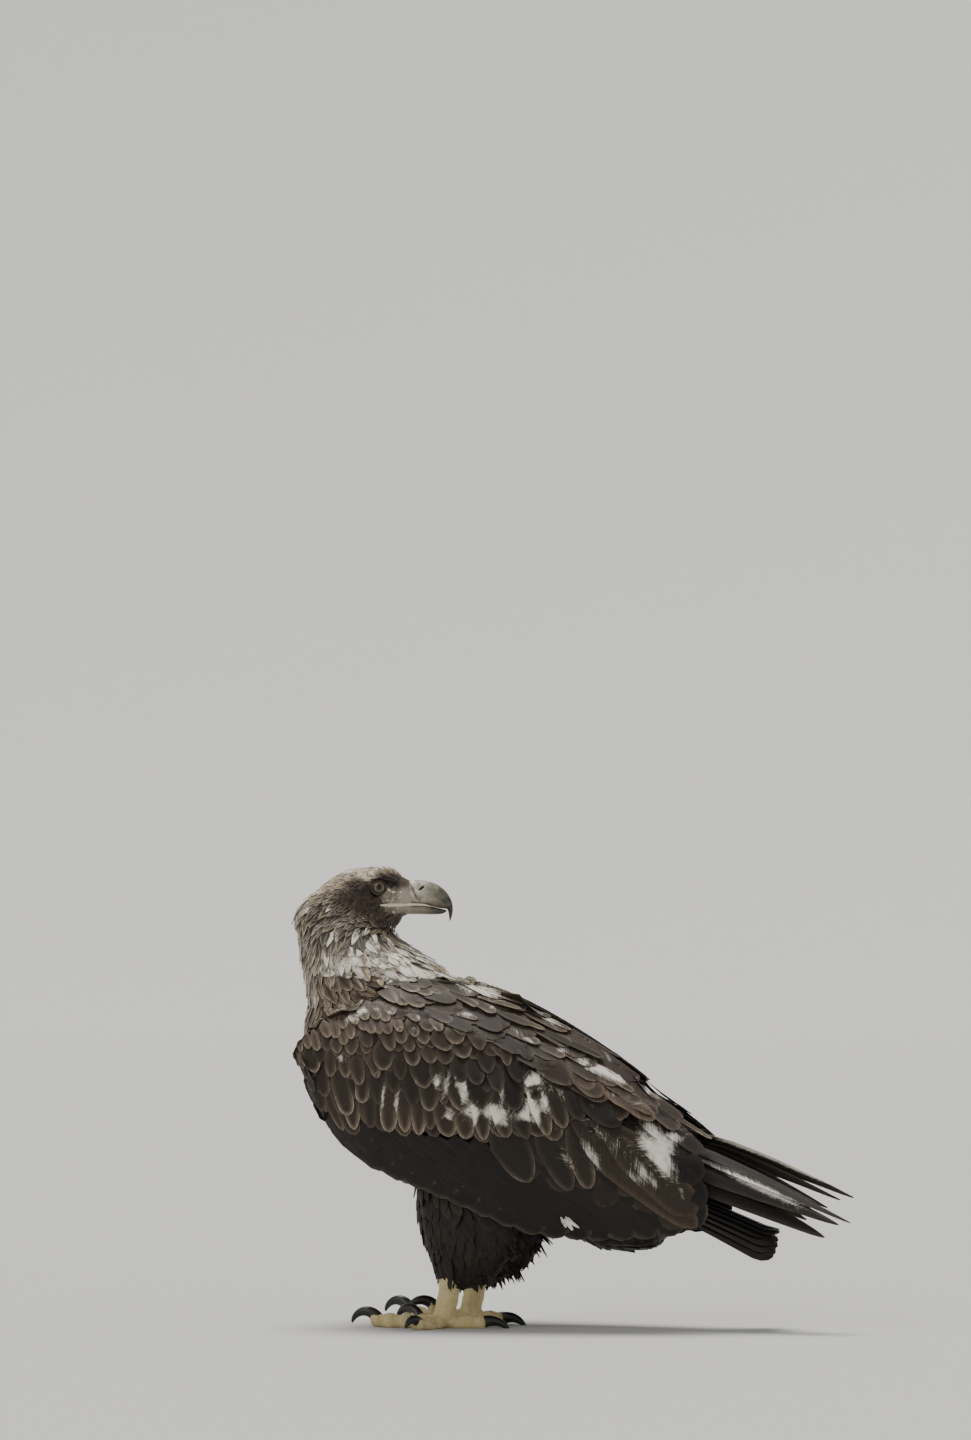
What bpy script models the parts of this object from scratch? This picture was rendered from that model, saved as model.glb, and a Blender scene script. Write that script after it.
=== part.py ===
"""Immature bald eagle, standing and looking back over its right shoulder: a still, life-size model.

Blender 4.5, metres, +Z up. The bird faces -Y and its left side is +X. The origin is on the floor, at the
middle of the bounding box. Every solid is the outer form of its part, out to the tips of the feathers.
Sizes are in millimetres in this file, and MM turns them to metres where a mesh is made.
"""

import math

import bpy
from mathutils import Matrix, Vector

MM = 0.001
GAP = 0.4  # clear space between neighbouring solids

# The driving dimensions. Positions along the bird are measured from the ankles, which stand at y = 0.
WING_FRONT = -164.0  # the bend of the folded wing
WING_REAR = 300.0  # the tips of the inner flight feathers
ARM_REAR = 212.0  # the end of the feathered arm
LEG_SPREAD = 47.0  # from the middle plane to each ankle
HEAD_YAW = math.radians(162)  # how far the head is turned from straight ahead, to the bird's right
HEAD_PIVOT = Vector((0.0, -142.0, 0.0))  # where the turned head meets the neck
HEAD_REACH = -135.0  # that pivot along the head's own axis, whose zero is ahead of the bill
EYE_RADIUS = 10.4
BOX_CENTRE = Vector((0.0, 121.45, 0.0))  # the middle of the bounding box, seen from the ankles


# ---------------------------------------------------------------- shapes


def blend(rows, at):
    """The columns of a short table at position `at` of its first column, on a smooth curve through the rows."""
    keys = [row[0] for row in rows]
    at = min(max(at, keys[0]), keys[-1])
    i = next(k for k in range(len(keys) - 1) if at <= keys[k + 1])
    t = (at - keys[i]) / (keys[i + 1] - keys[i])
    found = []
    for column in range(1, len(rows[0])):
        a, b = rows[i][column], rows[i + 1][column]
        span = keys[i + 1] - keys[i]

        def slope(k):
            if k in (0, len(keys) - 1):
                j = min(k, len(keys) - 2)
                return (rows[j + 1][column] - rows[j][column]) / (keys[j + 1] - keys[j])
            return (rows[k + 1][column] - rows[k - 1][column]) / (keys[k + 1] - keys[k - 1])

        m0, m1 = slope(i) * span, slope(i + 1) * span
        found.append(
            a * (2 * t**3 - 3 * t**2 + 1)
            + m0 * (t**3 - 2 * t**2 + t)
            + b * (3 * t**2 - 2 * t**3)
            + m1 * (t**3 - t**2)
        )
    return found


def steps(first, last, count):
    return [first + (last - first) * i / (count - 1) for i in range(count)]


def oval(centre, side, up, half_width, above, below, count, power=2.0, turn=0.0):
    """A closed ring of points round `centre`: half_width along `side`, and above and below along `up`."""
    ring = []
    for i in range(count):
        angle = 2 * math.pi * (i + turn) / count
        c, s = math.cos(angle), math.sin(angle)
        across = math.copysign(abs(c) ** (2 / power), c) * half_width
        tall = math.copysign(abs(s) ** (2 / power), s) * (above if s > 0 else below)
        ring.append(centre + side * across + up * tall)
    return ring


def material(name, colour, roughness, metallic=0.0):
    found = bpy.data.materials.get(name)
    if found:
        return found
    made = bpy.data.materials.new(name)
    made.use_nodes = True
    shader = made.node_tree.nodes["Principled BSDF"]
    shader.inputs["Base Color"].default_value = (*colour, 1.0)
    shader.inputs["Roughness"].default_value = roughness
    shader.inputs["Metallic"].default_value = metallic
    made.diffuse_color = (*colour, 1.0)
    return made


def solid_from(name, points, faces, finish):
    """An object from points in millimetres, shaded smooth, with its faces pointing out."""
    mesh = bpy.data.meshes.new(name)
    mesh.from_pydata([(p - BOX_CENTRE) * MM for p in points], [], faces)
    mesh.validate()
    made = bpy.data.objects.new(name, mesh)
    bpy.context.scene.collection.objects.link(made)
    mesh.materials.append(finish)
    mesh.shade_smooth()
    mesh.set_sharp_from_angle(angle=math.radians(50))
    return made


def volume_of(points, faces):
    total = 0.0
    for face in faces:
        for k in range(1, len(face) - 1):
            total += points[face[0]].cross(points[face[k]]).dot(points[face[k + 1]])
    return total / 6


def loft(name, rings, finish):
    """One closed body through rings of equally many points, each end closed by a fan round its middle."""
    count = len(rings[0])
    points = [p for ring in rings for p in ring]
    faces = []
    for r in range(len(rings) - 1):
        for i in range(count):
            a, b = r * count + i, r * count + (i + 1) % count
            faces.append((a, b, b + count, a + count))
    for ring, start in ((rings[0], 0), (rings[-1], (len(rings) - 1) * count)):
        middle = sum(ring, Vector()) / count
        points.append(middle)
        for i in range(count):
            a, b = start + i, start + (i + 1) % count
            faces.append((b, a, len(points) - 1) if start == 0 else (a, b, len(points) - 1))
    if volume_of(points, faces) < 0:
        faces = [tuple(reversed(f)) for f in faces]
    return solid_from(name, points, faces, finish)


def helper(made):
    """Marks a cutter, which is no part of the bird."""
    made.hide_render = True
    made.display_type = "WIRE"
    return made


def carve(made, *cutters):
    for cutter in cutters:
        boolean = made.modifiers.new("clear of " + cutter.name, "BOOLEAN")
        boolean.operation = "DIFFERENCE"
        boolean.solver = "EXACT"
        boolean.object = helper(cutter)
    return made


def join(made, *others):
    for other in others:
        boolean = made.modifiers.new("joined to " + other.name, "BOOLEAN")
        boolean.operation = "UNION"
        boolean.solver = "EXACT"
        boolean.object = helper(other)
    return made


X, Y, Z = Vector((1, 0, 0)), Vector((0, 1, 0)), Vector((0, 0, 1))


# ---------------------------------------------------------------- trunk and neck

# y, underside, back, half width
TRUNK = [
    (-184, 296, 362, 30),
    (-172, 246, 381, 64),
    (-145, 206, 392, 86),
    (-100, 174, 398, 99),
    (-50, 150, 402, 102),
    (0, 136, 382, 100),
    (60, 122, 350, 94),
    (115, 108, 316, 84),
    (155, 87, 284, 70),
    (205, 86, 234, 50),
    (238, 98, 196, 34),
    (252, 128, 172, 14),
]

# z, front, rear, half width: the neck leans forward out of the shoulders and is widest at its foot
NECK = [
    (340, -180, 0, 70),
    (368, -188, -6, 73),
    (385, -189, -16, 71),
    (402, -190, -34, 65),
    (420, -191, -62, 58),
    (438, -191, -86, 50),
    (452, -186, -96, 43),
    (462, -178, -104, 34),
]


def trunk_rings(grow=0.0):
    rings = []
    for y in steps(TRUNK[0][0], TRUNK[-1][0], 16):
        low, high, half = blend(TRUNK, y)
        middle = low + (high - low) * 0.46
        end = y - grow if y < 0 else y + grow
        at = Vector((0, end if y in (TRUNK[0][0], TRUNK[-1][0]) else y, middle))
        rings.append(oval(at, X, Z, half + grow, high - middle + grow, middle - low + grow, 18, 2.15))
    return rings


def neck_rings(grow=0.0):
    rings = []
    for z in steps(NECK[0][0], NECK[-1][0], 9):
        front, rear, half = blend(NECK, z)
        at = Vector((0, (front + rear) / 2, z))
        long = (rear - front) / 2 + grow
        rings.append(oval(at, X, Y, half + grow, long, long, 16, 2.1))
    return rings


# ---------------------------------------------------------------- head and bill

# Positions on the head: `reach` runs forward towards the bill's tip, `z` is the height above the floor.
# reach, underside, crown, half width
HEAD = [
    (-191, 446, 462, 10),
    (-184, 436, 474, 21),
    (-172, 430, 485, 29),
    (-152, 426, 500, 33),
    (-130, 430, 509.5, 33.5),
    (-108, 438, 512.3, 31.5),
    (-92, 446, 510.5, 27.5),
    (-78, 453, 505.8, 20.5),
    (-68, 459, 500.3, 15.2),
    (-62, 461, 497.2, 12.6),
]

# reach and height of the culmen, reach and height of the cutting edge, half width, from base to hook
UPPER_BILL = [
    (0, -70, 497.5, -70, 471.6, 12.2),
    (1, -57, 498.3, -57, 471.5, 12.4),
    (2, -46, 497.2, -47, 470.9, 11.2),
    (3, -37, 494.8, -39.5, 468.9, 9.8),
    (4, -29, 490.3, -32.5, 467.1, 8.2),
    (5, -21.8, 483.2, -26.4, 466.3, 6.2),
    (6, -17.2, 474.4, -22.6, 465.6, 4.4),
    (7, -15.9, 466.2, -20.9, 461.8, 3.1),
    (8, -16.8, 458.6, -20.3, 457.3, 1.9),
    (9, -18.7, 452.4, -19.6, 452.2, 0.5),
]
CERE_END = 2.05  # where the cere gives way to horn, on the scale of that table
NOSTRIL = (-51.5, 489.4)  # reach and height of the nostril's middle

# reach, underside, cutting edge, half width
LOWER_BILL = [
    (-72, 459.6, 470.9, 10.2),
    (-57, 459.8, 470.8, 10.4),
    (-45, 459.6, 470.0, 8.8),
    (-35, 459.6, 467.4, 6.6),
    (-27, 460.6, 465.6, 4.2),
    (-23.2, 462.6, 464.6, 1.6),
]
EYE = (-98.4, 489.0)  # reach and height of each eye's middle
EYE_SIDE = 17.6  # from the head's middle plane to each eyeball's middle
ORBIT_RADIUS = 15.0  # the hollow of the face round the eye
ORBIT_SIDE = 38.6


AHEAD = Vector((-math.sin(HEAD_YAW), -math.cos(HEAD_YAW), 0))  # the way the bill points
ASIDE = Vector((-math.cos(HEAD_YAW), math.sin(HEAD_YAW), 0))  # out of the head's right cheek


def on_head(reach, side, z):
    return HEAD_PIVOT + AHEAD * (reach - HEAD_REACH) + ASIDE * side + Z * z


def head_rings(grow=0.0):
    rings = []
    for reach in steps(HEAD[0][0], HEAD[-1][0], 13):
        low, high, half = blend(HEAD, reach)
        middle = low + (high - low) * 0.5
        ring_at = reach - grow if reach == HEAD[0][0] else reach + grow * (reach == HEAD[-1][0])
        rings.append(
            oval(on_head(ring_at, 0, middle), ASIDE, Z, half + grow, high - middle + grow, middle - low + grow, 16, 2.15)
        )
    return rings


def upper_bill_rings(first, last, count, grow=0.0):
    """Rings between two places on the bill's own scale, each across a line from culmen to cutting edge."""
    rings = []
    for place in steps(first, last, count):
        top_reach, top_z, low_reach, low_z, half = blend(UPPER_BILL, place)
        top, low = on_head(top_reach, 0, top_z), on_head(low_reach, 0, low_z)
        up = (top - low).normalized()
        tall = (top - low).length / 2
        # The widest line lies low, near the cutting edge, and the culmen is a rounded ridge.
        at = low + up * tall * 0.75
        ring = oval(at, ASIDE, up, half + grow, tall * 1.25 + grow, tall * 0.75 + grow, 10, 2.0)
        rings.append(ring)
    return rings


def lower_bill_rings():
    rings = []
    for reach in steps(LOWER_BILL[0][0], LOWER_BILL[-1][0], 7):
        low, high, half = blend(LOWER_BILL, reach)
        at = on_head(reach, 0, low + (high - low) * 0.62)
        rings.append(oval(at, ASIDE, Z, half, (high - low) * 0.38, (high - low) * 0.62, 10, 2.4))
    return rings


def ball(name, centre, radius, finish, turns=12, bands=9):
    """A sphere whose poles point out of the head's cheeks."""
    rings = []
    for band in range(1, bands):
        angle = math.pi * band / bands
        at = centre - ASIDE * radius * math.cos(angle)
        rings.append(oval(at, AHEAD, Z, radius * math.sin(angle), *[radius * math.sin(angle)] * 2, turns))
    made = loft(name, rings, finish)
    # The two fans close the ends; their middles are pushed out to the poles.
    for vertex, side in zip(list(made.data.vertices)[-2:], (-1, 1)):
        vertex.co = (centre + ASIDE * radius * side - BOX_CENTRE) * MM
    return made


def brow(side, grow=0.0):
    """The bony ridge that shades the eye, from the lore to behind the eye."""
    rings = []
    for t in steps(0, 1, 6):
        reach = -76 - 36 * t
        at = on_head(reach, side * (19.5 + 9.5 * math.sin(math.pi * (0.15 + 0.6 * t))), 497.6 + 3.2 * math.sin(math.pi * t))
        thick = 1.2 + 3.2 * math.sin(math.pi * (0.1 + 0.8 * t))
        rings.append(oval(at, ASIDE, Z, thick * 1.2 + grow, thick + grow, thick + grow, 6))
    return rings


# ---------------------------------------------------------------- wings

# y, half width of the bird there, height of its widest line, height of the back, height of the wing's lower edge
WING = [
    (-164, 108, 302, 384, 262),
    (-140, 117, 302, 392, 236),
    (-100, 123, 298, 400, 204),
    (-50, 124, 288, 408, 178),
    (0, 120, 272, 394, 158),
    (60, 112, 250, 371, 134),
    (120, 101, 226, 340, 110),
    (180, 88, 203, 302, 104),
    (240, 74, 180, 258, 105),
    (284, 62, 165, 225, 112),
    (300, 58, 160, 214, 124),
]
# y, angle from straight up to the wing's upper edge, depth of the folded arm, share of the wing that coverts cover
WING_EDGE = [
    (-164, 64, 30, 0.62),
    (-120, 56, 34, 0.60),
    (-70, 38, 27, 0.62),
    (-20, 20, 19, 0.64),
    (40, 11, 15, 0.66),
    (100, 7, 12, 0.64),
    (150, 6, 10, 0.52),
    (190, 6, 8, 0.26),
    (212, 6, 7, 0.06),
    (300, 6, 4.5, 0.0),
]
TUCK = 0.16  # how far the lower edge draws in towards the legs, as a share of the half width
WRIST_ROUND = 26.0  # length of the rounded front of the wing
SECONDARIES = 15  # rounded tips along the lower edge
SCALLOP = 4.0  # how deep the notches between them are


def wing_point(y, share, depth, trim=0.0):
    """A point of the left wing: share 0 is the upper edge, 1 the lower one, and depth is measured inwards."""
    half, wide_z, back_z, low_z = blend(WING, y)
    top_angle = math.radians(blend(WING_EDGE, y)[0])
    rounding = 1.0
    if y < WING_FRONT + WRIST_ROUND:
        past = (WING_FRONT + WRIST_ROUND - y) / WRIST_ROUND
        rounding = math.sqrt(max(0.03, 1 - past * past))
    top_angle = math.pi / 2 - (math.pi / 2 - top_angle) * rounding
    low_z = wide_z - (wide_z - low_z - trim) * rounding
    upper = (math.pi / 2 - top_angle) * (half + back_z - wide_z) / 2
    whole = upper + wide_z - low_z
    along = share * whole
    if along < upper:
        angle = top_angle + (math.pi / 2 - top_angle) * along / upper
        x, z = half * math.sin(angle), wide_z + (back_z - wide_z) * math.cos(angle)
        normal = Vector((math.sin(angle) / half, 0, math.cos(angle) / (back_z - wide_z))).normalized()
    else:
        fall = (along - upper) / max(wide_z - low_z, 1e-6)
        tuck = TUCK * rounding
        x, z = half * (1 - tuck * fall * fall), wide_z - (along - upper)
        normal = Vector((wide_z - low_z, 0, -2 * tuck * half * fall)).normalized()
    return Vector((x, y, z)) - normal * depth


def mirrored(point, side):
    return Vector((point.x * side, point.y, point.z))


def wing_shell(name, side, finish, stations, shares, depth_of, trim_of):
    """A shell between two shares of the wing at each of its stations, as deep as depth_of says."""
    rings = []
    across = 5
    for y in stations:
        low_share, high_share = shares(y)
        outer, inner = [], []
        for share in steps(low_share, high_share, across):
            trim = trim_of(y) if share > 0.9 else 0.0
            lip = 1 - 0.55 * (2 * (share - low_share) / (high_share - low_share) - 1) ** 4
            outer.append(mirrored(wing_point(y, share, 0.0, trim), side))
            inner.append(mirrored(wing_point(y, share, depth_of(y) * lip, trim), side))
        rings.append(outer + inner[::-1])
    return loft(name, rings, finish)


def covert_share(y):
    return blend(WING_EDGE, y)[2]


def arm_shares(y):
    return 0.0, max(0.05, covert_share(y))


def flight_shares(y):
    return (max(0.05, covert_share(y)) + 0.006) if y < ARM_REAR else 0.0, 1.0


def arm_depth(y):
    rounding = min(1.0, 0.45 + (y - WING_FRONT) / 30)
    return blend(WING_EDGE, y)[1] * rounding


def flight_depth(y):
    return 4.0 + 6.0 * max(0.0, min(1.0, (150 - y) / 250))


def scallop(y):
    """How much the lower edge is drawn up between two rounded feather tips."""
    phase = (y - WING_FRONT) / (WING_REAR - WING_FRONT) * SECONDARIES
    return -SCALLOP * (2 * abs(phase - math.floor(phase) - 0.5)) ** 3


# ---------------------------------------------------------------- long feathers of the hand and the tail

# Each wing's three showing primaries: root and tip (distance out from the middle plane, y, z), width, roll
PRIMARIES = {
    "left": [
        ((40, 256, 180), (21, 421, 107), 30, 26),
        ((31, 256, 197), (14, 434, 124), 26, 34),
        ((22, 256, 208), (8, 439, 130), 20, 48),
    ],
    "right": [
        ((40, 256, 182), (24, 408, 118), 30, 26),
        ((31, 256, 197), (17, 437, 126), 26, 34),
        ((21, 256, 209), (9, 441, 152), 24, 62),
    ],
}
BLADE_THICK = 2.4


def blade_rings(root, tip, width, roll, side):
    """One long feather: narrow at its root, widest past the middle, with a blunt point, bowed a little down."""
    root, tip = mirrored(Vector(root), side), mirrored(Vector(tip), side)
    along = (tip - root).normalized()
    lean = math.radians(roll)
    hang = Vector((side * math.sin(lean), 0, -math.cos(lean)))
    wide = (hang - along * hang.dot(along)).normalized()
    thick = along.cross(wide)
    bow = (tip - root).length * 0.03
    rings = []
    for t in steps(0, 1, 8):
        at = root.lerp(tip, t) + Z * bow * math.sin(math.pi * t)
        half = width / 2 * min(1.0, 0.75 + 0.6 * t) * math.sqrt(max(0.012, 1 - max(0.0, (t - 0.45) / 0.55) ** 2.2))
        half_thick = BLADE_THICK / 2 * (2.2 - 1.7 * t)
        rings.append(oval(at, wide, thick, half, half_thick, half_thick, 8))
    return rings


TAIL_ROOT = Vector((0.0, 190.0, 0.0))
TAIL_YAW = math.radians(13)  # the tail swings a little to the bird's right
# distance from the root, height of the tail's ridge, half width, droop of its outer edges, thickness
TAIL = [
    (0, 174, 26, 46, 12),
    (50, 154, 35, 50, 9),
    (110, 131, 45, 45, 6),
    (158, 112, 50, 41, 3.4),
]
TAIL_TIPS = 6  # rounded feather tips showing at the end
TAIL_TIP_LENGTH = 11.0


def tail_rings(grow=0.0):
    """An arched fan, higher in the middle, whose end is a row of rounded tips."""
    along = Vector((-math.sin(TAIL_YAW), math.cos(TAIL_YAW), 0))
    aside = Vector((math.cos(TAIL_YAW), math.sin(TAIL_YAW), 0))
    last = TAIL[-1][0]
    rings = []
    for row in steps(0, last, 7):
        ridge, half, droop, thick = blend(TAIL, row)
        top, low = [], []
        for v in steps(-1, 1, 3 * TAIL_TIPS + 1):
            tip = abs(math.sin(math.pi * TAIL_TIPS * (v + 1) / 2)) ** 0.6
            reach = row + (TAIL_TIP_LENGTH * tip - 5 * v * v) * (row / last) ** 3
            at = TAIL_ROOT + along * reach + aside * v * (half + grow) + Z * (ridge - droop * abs(v) ** 1.6)
            edge = thick / 2 * (1 - 0.6 * abs(v) ** 3) + grow
            top.append(at + Z * edge)
            low.append(at - Z * edge)
        rings.append(top + low[::-1])
    return rings


# ---------------------------------------------------------------- legs, feet and claws

# z, front, rear, half width, distance out from the middle plane, for each feathered thigh
THIGH = [
    (43, -14, 14, 8, 46),
    (51, -19, 34, 14, 47),
    (62, -23, 53, 19, 48),
    (80, -30, 66, 25, 49),
    (102, -37, 78, 30, 50),
    (130, -43, 80, 34, 51),
    (168, -44, 76, 35, 51),
    (196, -34, 62, 28, 48),
]
ANKLE = (-11.0, 13.0)  # y and z of the joint where the toes meet
SHIN_TOP = (3.0, 84.0)  # y and z of the shin's upper end, hidden in the feathers
SHIN_RADIUS = 7.6

# name, angle outwards from straight ahead, length to the claw, radius, lift of the toe's end,
# claw's radius of curve, its first slope upwards and the degrees it sweeps through from root to point
TOES = [
    ("inner", -24, 45, 7.4, 4.5, 16.5, 66, 146),
    ("middle", 6, 81, 7.4, 2.4, 15.5, 66, 146),
    ("outer", 68, 48, 6.6, 0.5, 13.0, 58, 132),
    ("hind", -166, 44, 7.4, -1.1, 27.0, 28, 80),
]
TOE_LIFT = {"left": 0.0, "right": 6.0}  # the right foot's front toes end a little higher
CLAW_RADIUS = 4.6
SOLE = 1.6  # how far a toe is pressed flat where it bears on the floor


def on_floor(ring):
    """The same ring with what would sink below the floor laid flat on it."""
    return [Vector((p.x, p.y, max(p.z, 0.0))) for p in ring]


def thigh_rings(side, grow=0.0):
    rings = []
    for z in steps(THIGH[0][0], THIGH[-1][0], 9):
        front, rear, half, out = blend(THIGH, z)
        at = Vector((side * out, (front + rear) / 2, z - grow * (z == THIGH[0][0])))
        long = (rear - front) / 2 + grow
        rings.append(oval(at, X, Y, half + grow, long, long, 14, 2.1))
    return rings


def shin_rings(side):
    """The bare shin, swelling at the foot into the joint that the toes spread from."""
    low, high = Vector((side * LEG_SPREAD, *ANKLE)), Vector((side * LEG_SPREAD, *SHIN_TOP))
    axis = (high - low).normalized()
    front = axis.cross(X).normalized()
    rings = []
    for t in steps(-0.14, 1, 8):
        swell = 3.6 * math.exp(-((t / 0.16) ** 2))
        radius = SHIN_RADIUS + swell + 1.2 * max(0.0, t - 0.6)
        if t < 0:
            radius *= 0.72
        rings.append(on_floor(oval(low.lerp(high, t), X, front, radius * 0.94, radius, radius, 8)))
    return rings


def toe_line(side, toe):
    """The joint's middle, the toe's way along the floor, and the middle of its end."""
    _, angle, length, radius, lift, _, _, _ = toe
    turn = math.radians(angle)
    way = Vector((side * math.sin(turn), -math.cos(turn), 0))
    start = Vector((side * LEG_SPREAD, ANKLE[0], 10.5))
    lift += TOE_LIFT["left" if side > 0 else "right"] * (toe[0] != "hind")
    end = start + way * length
    end.z = radius - 0.5 + lift
    return start, way, end


def toe_rings(side, toe):
    """A fleshy toe with a pad under each joint, laid flat where it presses on the floor."""
    start, way, end = toe_line(side, toe)
    across = way.cross(Z)
    radius = toe[3]
    pads = {"middle": 3, "outer": 3, "inner": 2, "hind": 1}[toe[0]]
    rings = []
    for t in steps(0.0, 1.0, 2 * pads + 2):
        at = start.lerp(end, t)
        at.z = start.z + (radius - SOLE - start.z) * min(1.0, t / 0.28)
        at.z += (end.z - radius + SOLE) * max(0.0, (t - 0.6) / 0.4) ** 2
        bulge = 1 + 0.1 * math.cos(2 * math.pi * pads * (1 - t))
        here = radius * bulge * (0.8 if t == 1.0 else 1.0)
        rings.append(on_floor(oval(at, across, Z, here, here, here, 8, turn=0.5)))
    return rings


def claw_rings(side, toe, grow=0.0):
    """A curved claw: up out of the toe, over, and down to a point at the floor."""
    _, way, end = toe_line(side, toe)
    across = way.cross(Z)
    curve, first_slope, sweep = toe[5], math.radians(toe[6]), math.radians(toe[7])
    root = end - way * 5.0 - Z * 1.0
    rings = []
    for t in steps(0, 1, 8):
        slope = first_slope - sweep * t
        at = root + way * curve * (math.sin(first_slope) - math.sin(slope))
        at += Z * curve * (math.cos(slope) - math.cos(first_slope))
        up = way * -math.sin(slope) + Z * math.cos(slope)
        radius = CLAW_RADIUS * toe[3] / 7.4 * (1 - t) ** 0.72 + 0.45
        rings.append(on_floor(oval(at, across, up, radius * 0.82 + grow, radius + grow, radius + grow, 7)))
    return rings


# ---------------------------------------------------------------- assembly


def build():
    for old in list(bpy.data.objects):
        bpy.data.objects.remove(old, do_unlink=True)

    plumage = material("dark brown plumage", (0.075, 0.052, 0.036), 0.75)
    mantle = material("mottled mantle plumage", (0.30, 0.25, 0.19), 0.75)
    crown = material("buff crown plumage", (0.22, 0.17, 0.12), 0.75)
    quills = material("blackish flight feathers", (0.035, 0.027, 0.021), 0.6)
    horn = material("grey bill horn", (0.13, 0.12, 0.10), 0.35)
    cere_skin = material("yellow cere", (0.50, 0.42, 0.18), 0.5)
    foot_skin = material("yellow foot scales", (0.68, 0.52, 0.16), 0.55)
    claw_horn = material("black claw horn", (0.02, 0.018, 0.016), 0.3)
    iris = material("pale brown eye", (0.20, 0.14, 0.07), 0.1)

    loft("trunk", trunk_rings(), plumage)
    trunk_clear = loft("trunk_clearance", trunk_rings(GAP * 1.5), plumage)
    head_clear = loft("head_clearance", head_rings(GAP * 1.5), crown)
    neck = loft("neck", neck_rings(), mantle)
    neck_clear = loft("neck_clearance", neck_rings(GAP * 1.5), mantle)
    carve(neck, trunk_clear, head_clear)

    head = loft("head", head_rings(), crown)
    join(head, loft("brow_right", brow(1), crown), loft("brow_left", brow(-1), crown))
    for side, label in ((1, "right"), (-1, "left")):
        centre = on_head(EYE[0], side * EYE_SIDE, EYE[1])
        hollow = on_head(EYE[0] - 1, side * ORBIT_SIDE, EYE[1] - 1.2)
        carve(
            head,
            ball("orbit_" + label, hollow, ORBIT_RADIUS, crown, 10, 7),
            ball("socket_" + label, centre, EYE_RADIUS + GAP, crown),
        )
        ball("eye_" + label, centre, EYE_RADIUS, iris)

    brow_clear = [loft("brow_clearance_" + n, brow(s, GAP), crown) for s, n in ((1, "right"), (-1, "left"))]
    cere = loft("cere", upper_bill_rings(0, CERE_END, 6), cere_skin)
    carve(cere, head_clear, *brow_clear)
    for side, label in ((1, "right"), (-1, "left")):
        at = on_head(NOSTRIL[0], side * 11.6, NOSTRIL[1])
        carve(cere, ball("nostril_" + label, at, 2.4, horn, 8, 5))
    loft("bill_upper", upper_bill_rings(CERE_END + 0.045, 9, 13), horn)
    carve(loft("bill_lower", lower_bill_rings(), horn), head_clear)

    tail_clear = loft("tail_clearance", tail_rings(GAP), quills)
    for side, label in ((1, "left"), (-1, "right")):
        thigh = loft("thigh_" + label, thigh_rings(side), plumage)
        carve(thigh, trunk_clear)
        thigh_clear = loft("thigh_clearance_" + label, thigh_rings(side, GAP * 1.5), plumage)
        foot = loft("foot_" + label, shin_rings(side), foot_skin)
        for toe in TOES:
            join(foot, loft(f"toe_{toe[0]}_{label}", toe_rings(side, toe), foot_skin))
        carve(foot, thigh_clear)
        for toe in TOES:
            carve(foot, loft(f"claw_clearance_{toe[0]}_{label}", claw_rings(side, toe, GAP), claw_horn))
            loft(f"claw_{toe[0]}_{label}", claw_rings(side, toe), claw_horn)

        stations = steps(WING_FRONT, WING_REAR, 2 * SECONDARIES + 1)
        arm_stations = [y for y in stations if y < ARM_REAR]
        arm = wing_shell("wing_" + label, side, plumage, arm_stations, arm_shares, arm_depth, lambda y: 0.0)
        carve(arm, trunk_clear, neck_clear)
        flight = wing_shell("secondaries_" + label, side, quills, stations[1:], flight_shares, flight_depth, scallop)
        carve(flight, trunk_clear, thigh_clear, tail_clear)
        blades = [
            loft(f"primary_{number}_{label}", blade_rings(root, tip, width, roll, side), quills)
            for number, (root, tip, width, roll) in enumerate(PRIMARIES[label], 1)
        ]
        blades[0].name = "primaries_" + label
        join(*blades)

    carve(loft("tail", tail_rings(), quills), trunk_clear)


build()
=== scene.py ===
"""A still, life-size immature bald eagle, standing and looking back over its right shoulder: its looks.

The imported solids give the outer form. Here one skin lies under the plumage, and the eyes, bill, claws and
some thousands of feathers are made over it. Sizes are millimetres measured from the ankles, where the bird
faces -Y and its left side is +X; place() turns them to the frame's metres.
"""

import bpy
import math
import numpy as np
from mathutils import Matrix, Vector
from mathutils.bvhtree import BVHTree


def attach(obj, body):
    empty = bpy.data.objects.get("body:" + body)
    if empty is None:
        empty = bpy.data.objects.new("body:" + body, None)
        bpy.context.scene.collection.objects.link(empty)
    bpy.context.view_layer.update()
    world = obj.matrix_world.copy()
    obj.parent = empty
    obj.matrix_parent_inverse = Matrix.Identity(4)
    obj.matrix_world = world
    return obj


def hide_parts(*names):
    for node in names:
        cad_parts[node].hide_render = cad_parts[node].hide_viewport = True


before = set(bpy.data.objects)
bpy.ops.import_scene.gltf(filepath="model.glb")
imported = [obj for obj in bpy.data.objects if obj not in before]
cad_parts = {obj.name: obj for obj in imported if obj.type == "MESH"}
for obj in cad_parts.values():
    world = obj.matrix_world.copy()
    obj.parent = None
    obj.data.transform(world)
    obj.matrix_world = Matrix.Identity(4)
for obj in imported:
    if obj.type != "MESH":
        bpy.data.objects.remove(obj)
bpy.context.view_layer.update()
bpy.ops.object.select_all(action="DESELECT")

# ------------------------------------------------------------------ camera
# A long lens a little above the height of the bird's head, nine metres off its left side and a little
# behind the beam.
VIEW_RIGHT = np.array([-0.309, 0.951, 0.0])
VIEW_BACK = np.array([0.951, 0.309, 0.0])
MIDDLE = np.array([0.0, 121.45, 0.0])  # the frame's origin, seen from the ankles
MM = 0.001
STAND_OFF, STAND_ASIDE, STAND_UP = 9000, 20.7, 560
GAZE_UP = math.radians(0.75)


def place(points):
    """Millimetres from the ankles to the frame's metres."""
    return (np.asarray(points, float) - MIDDLE) * MM


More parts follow.
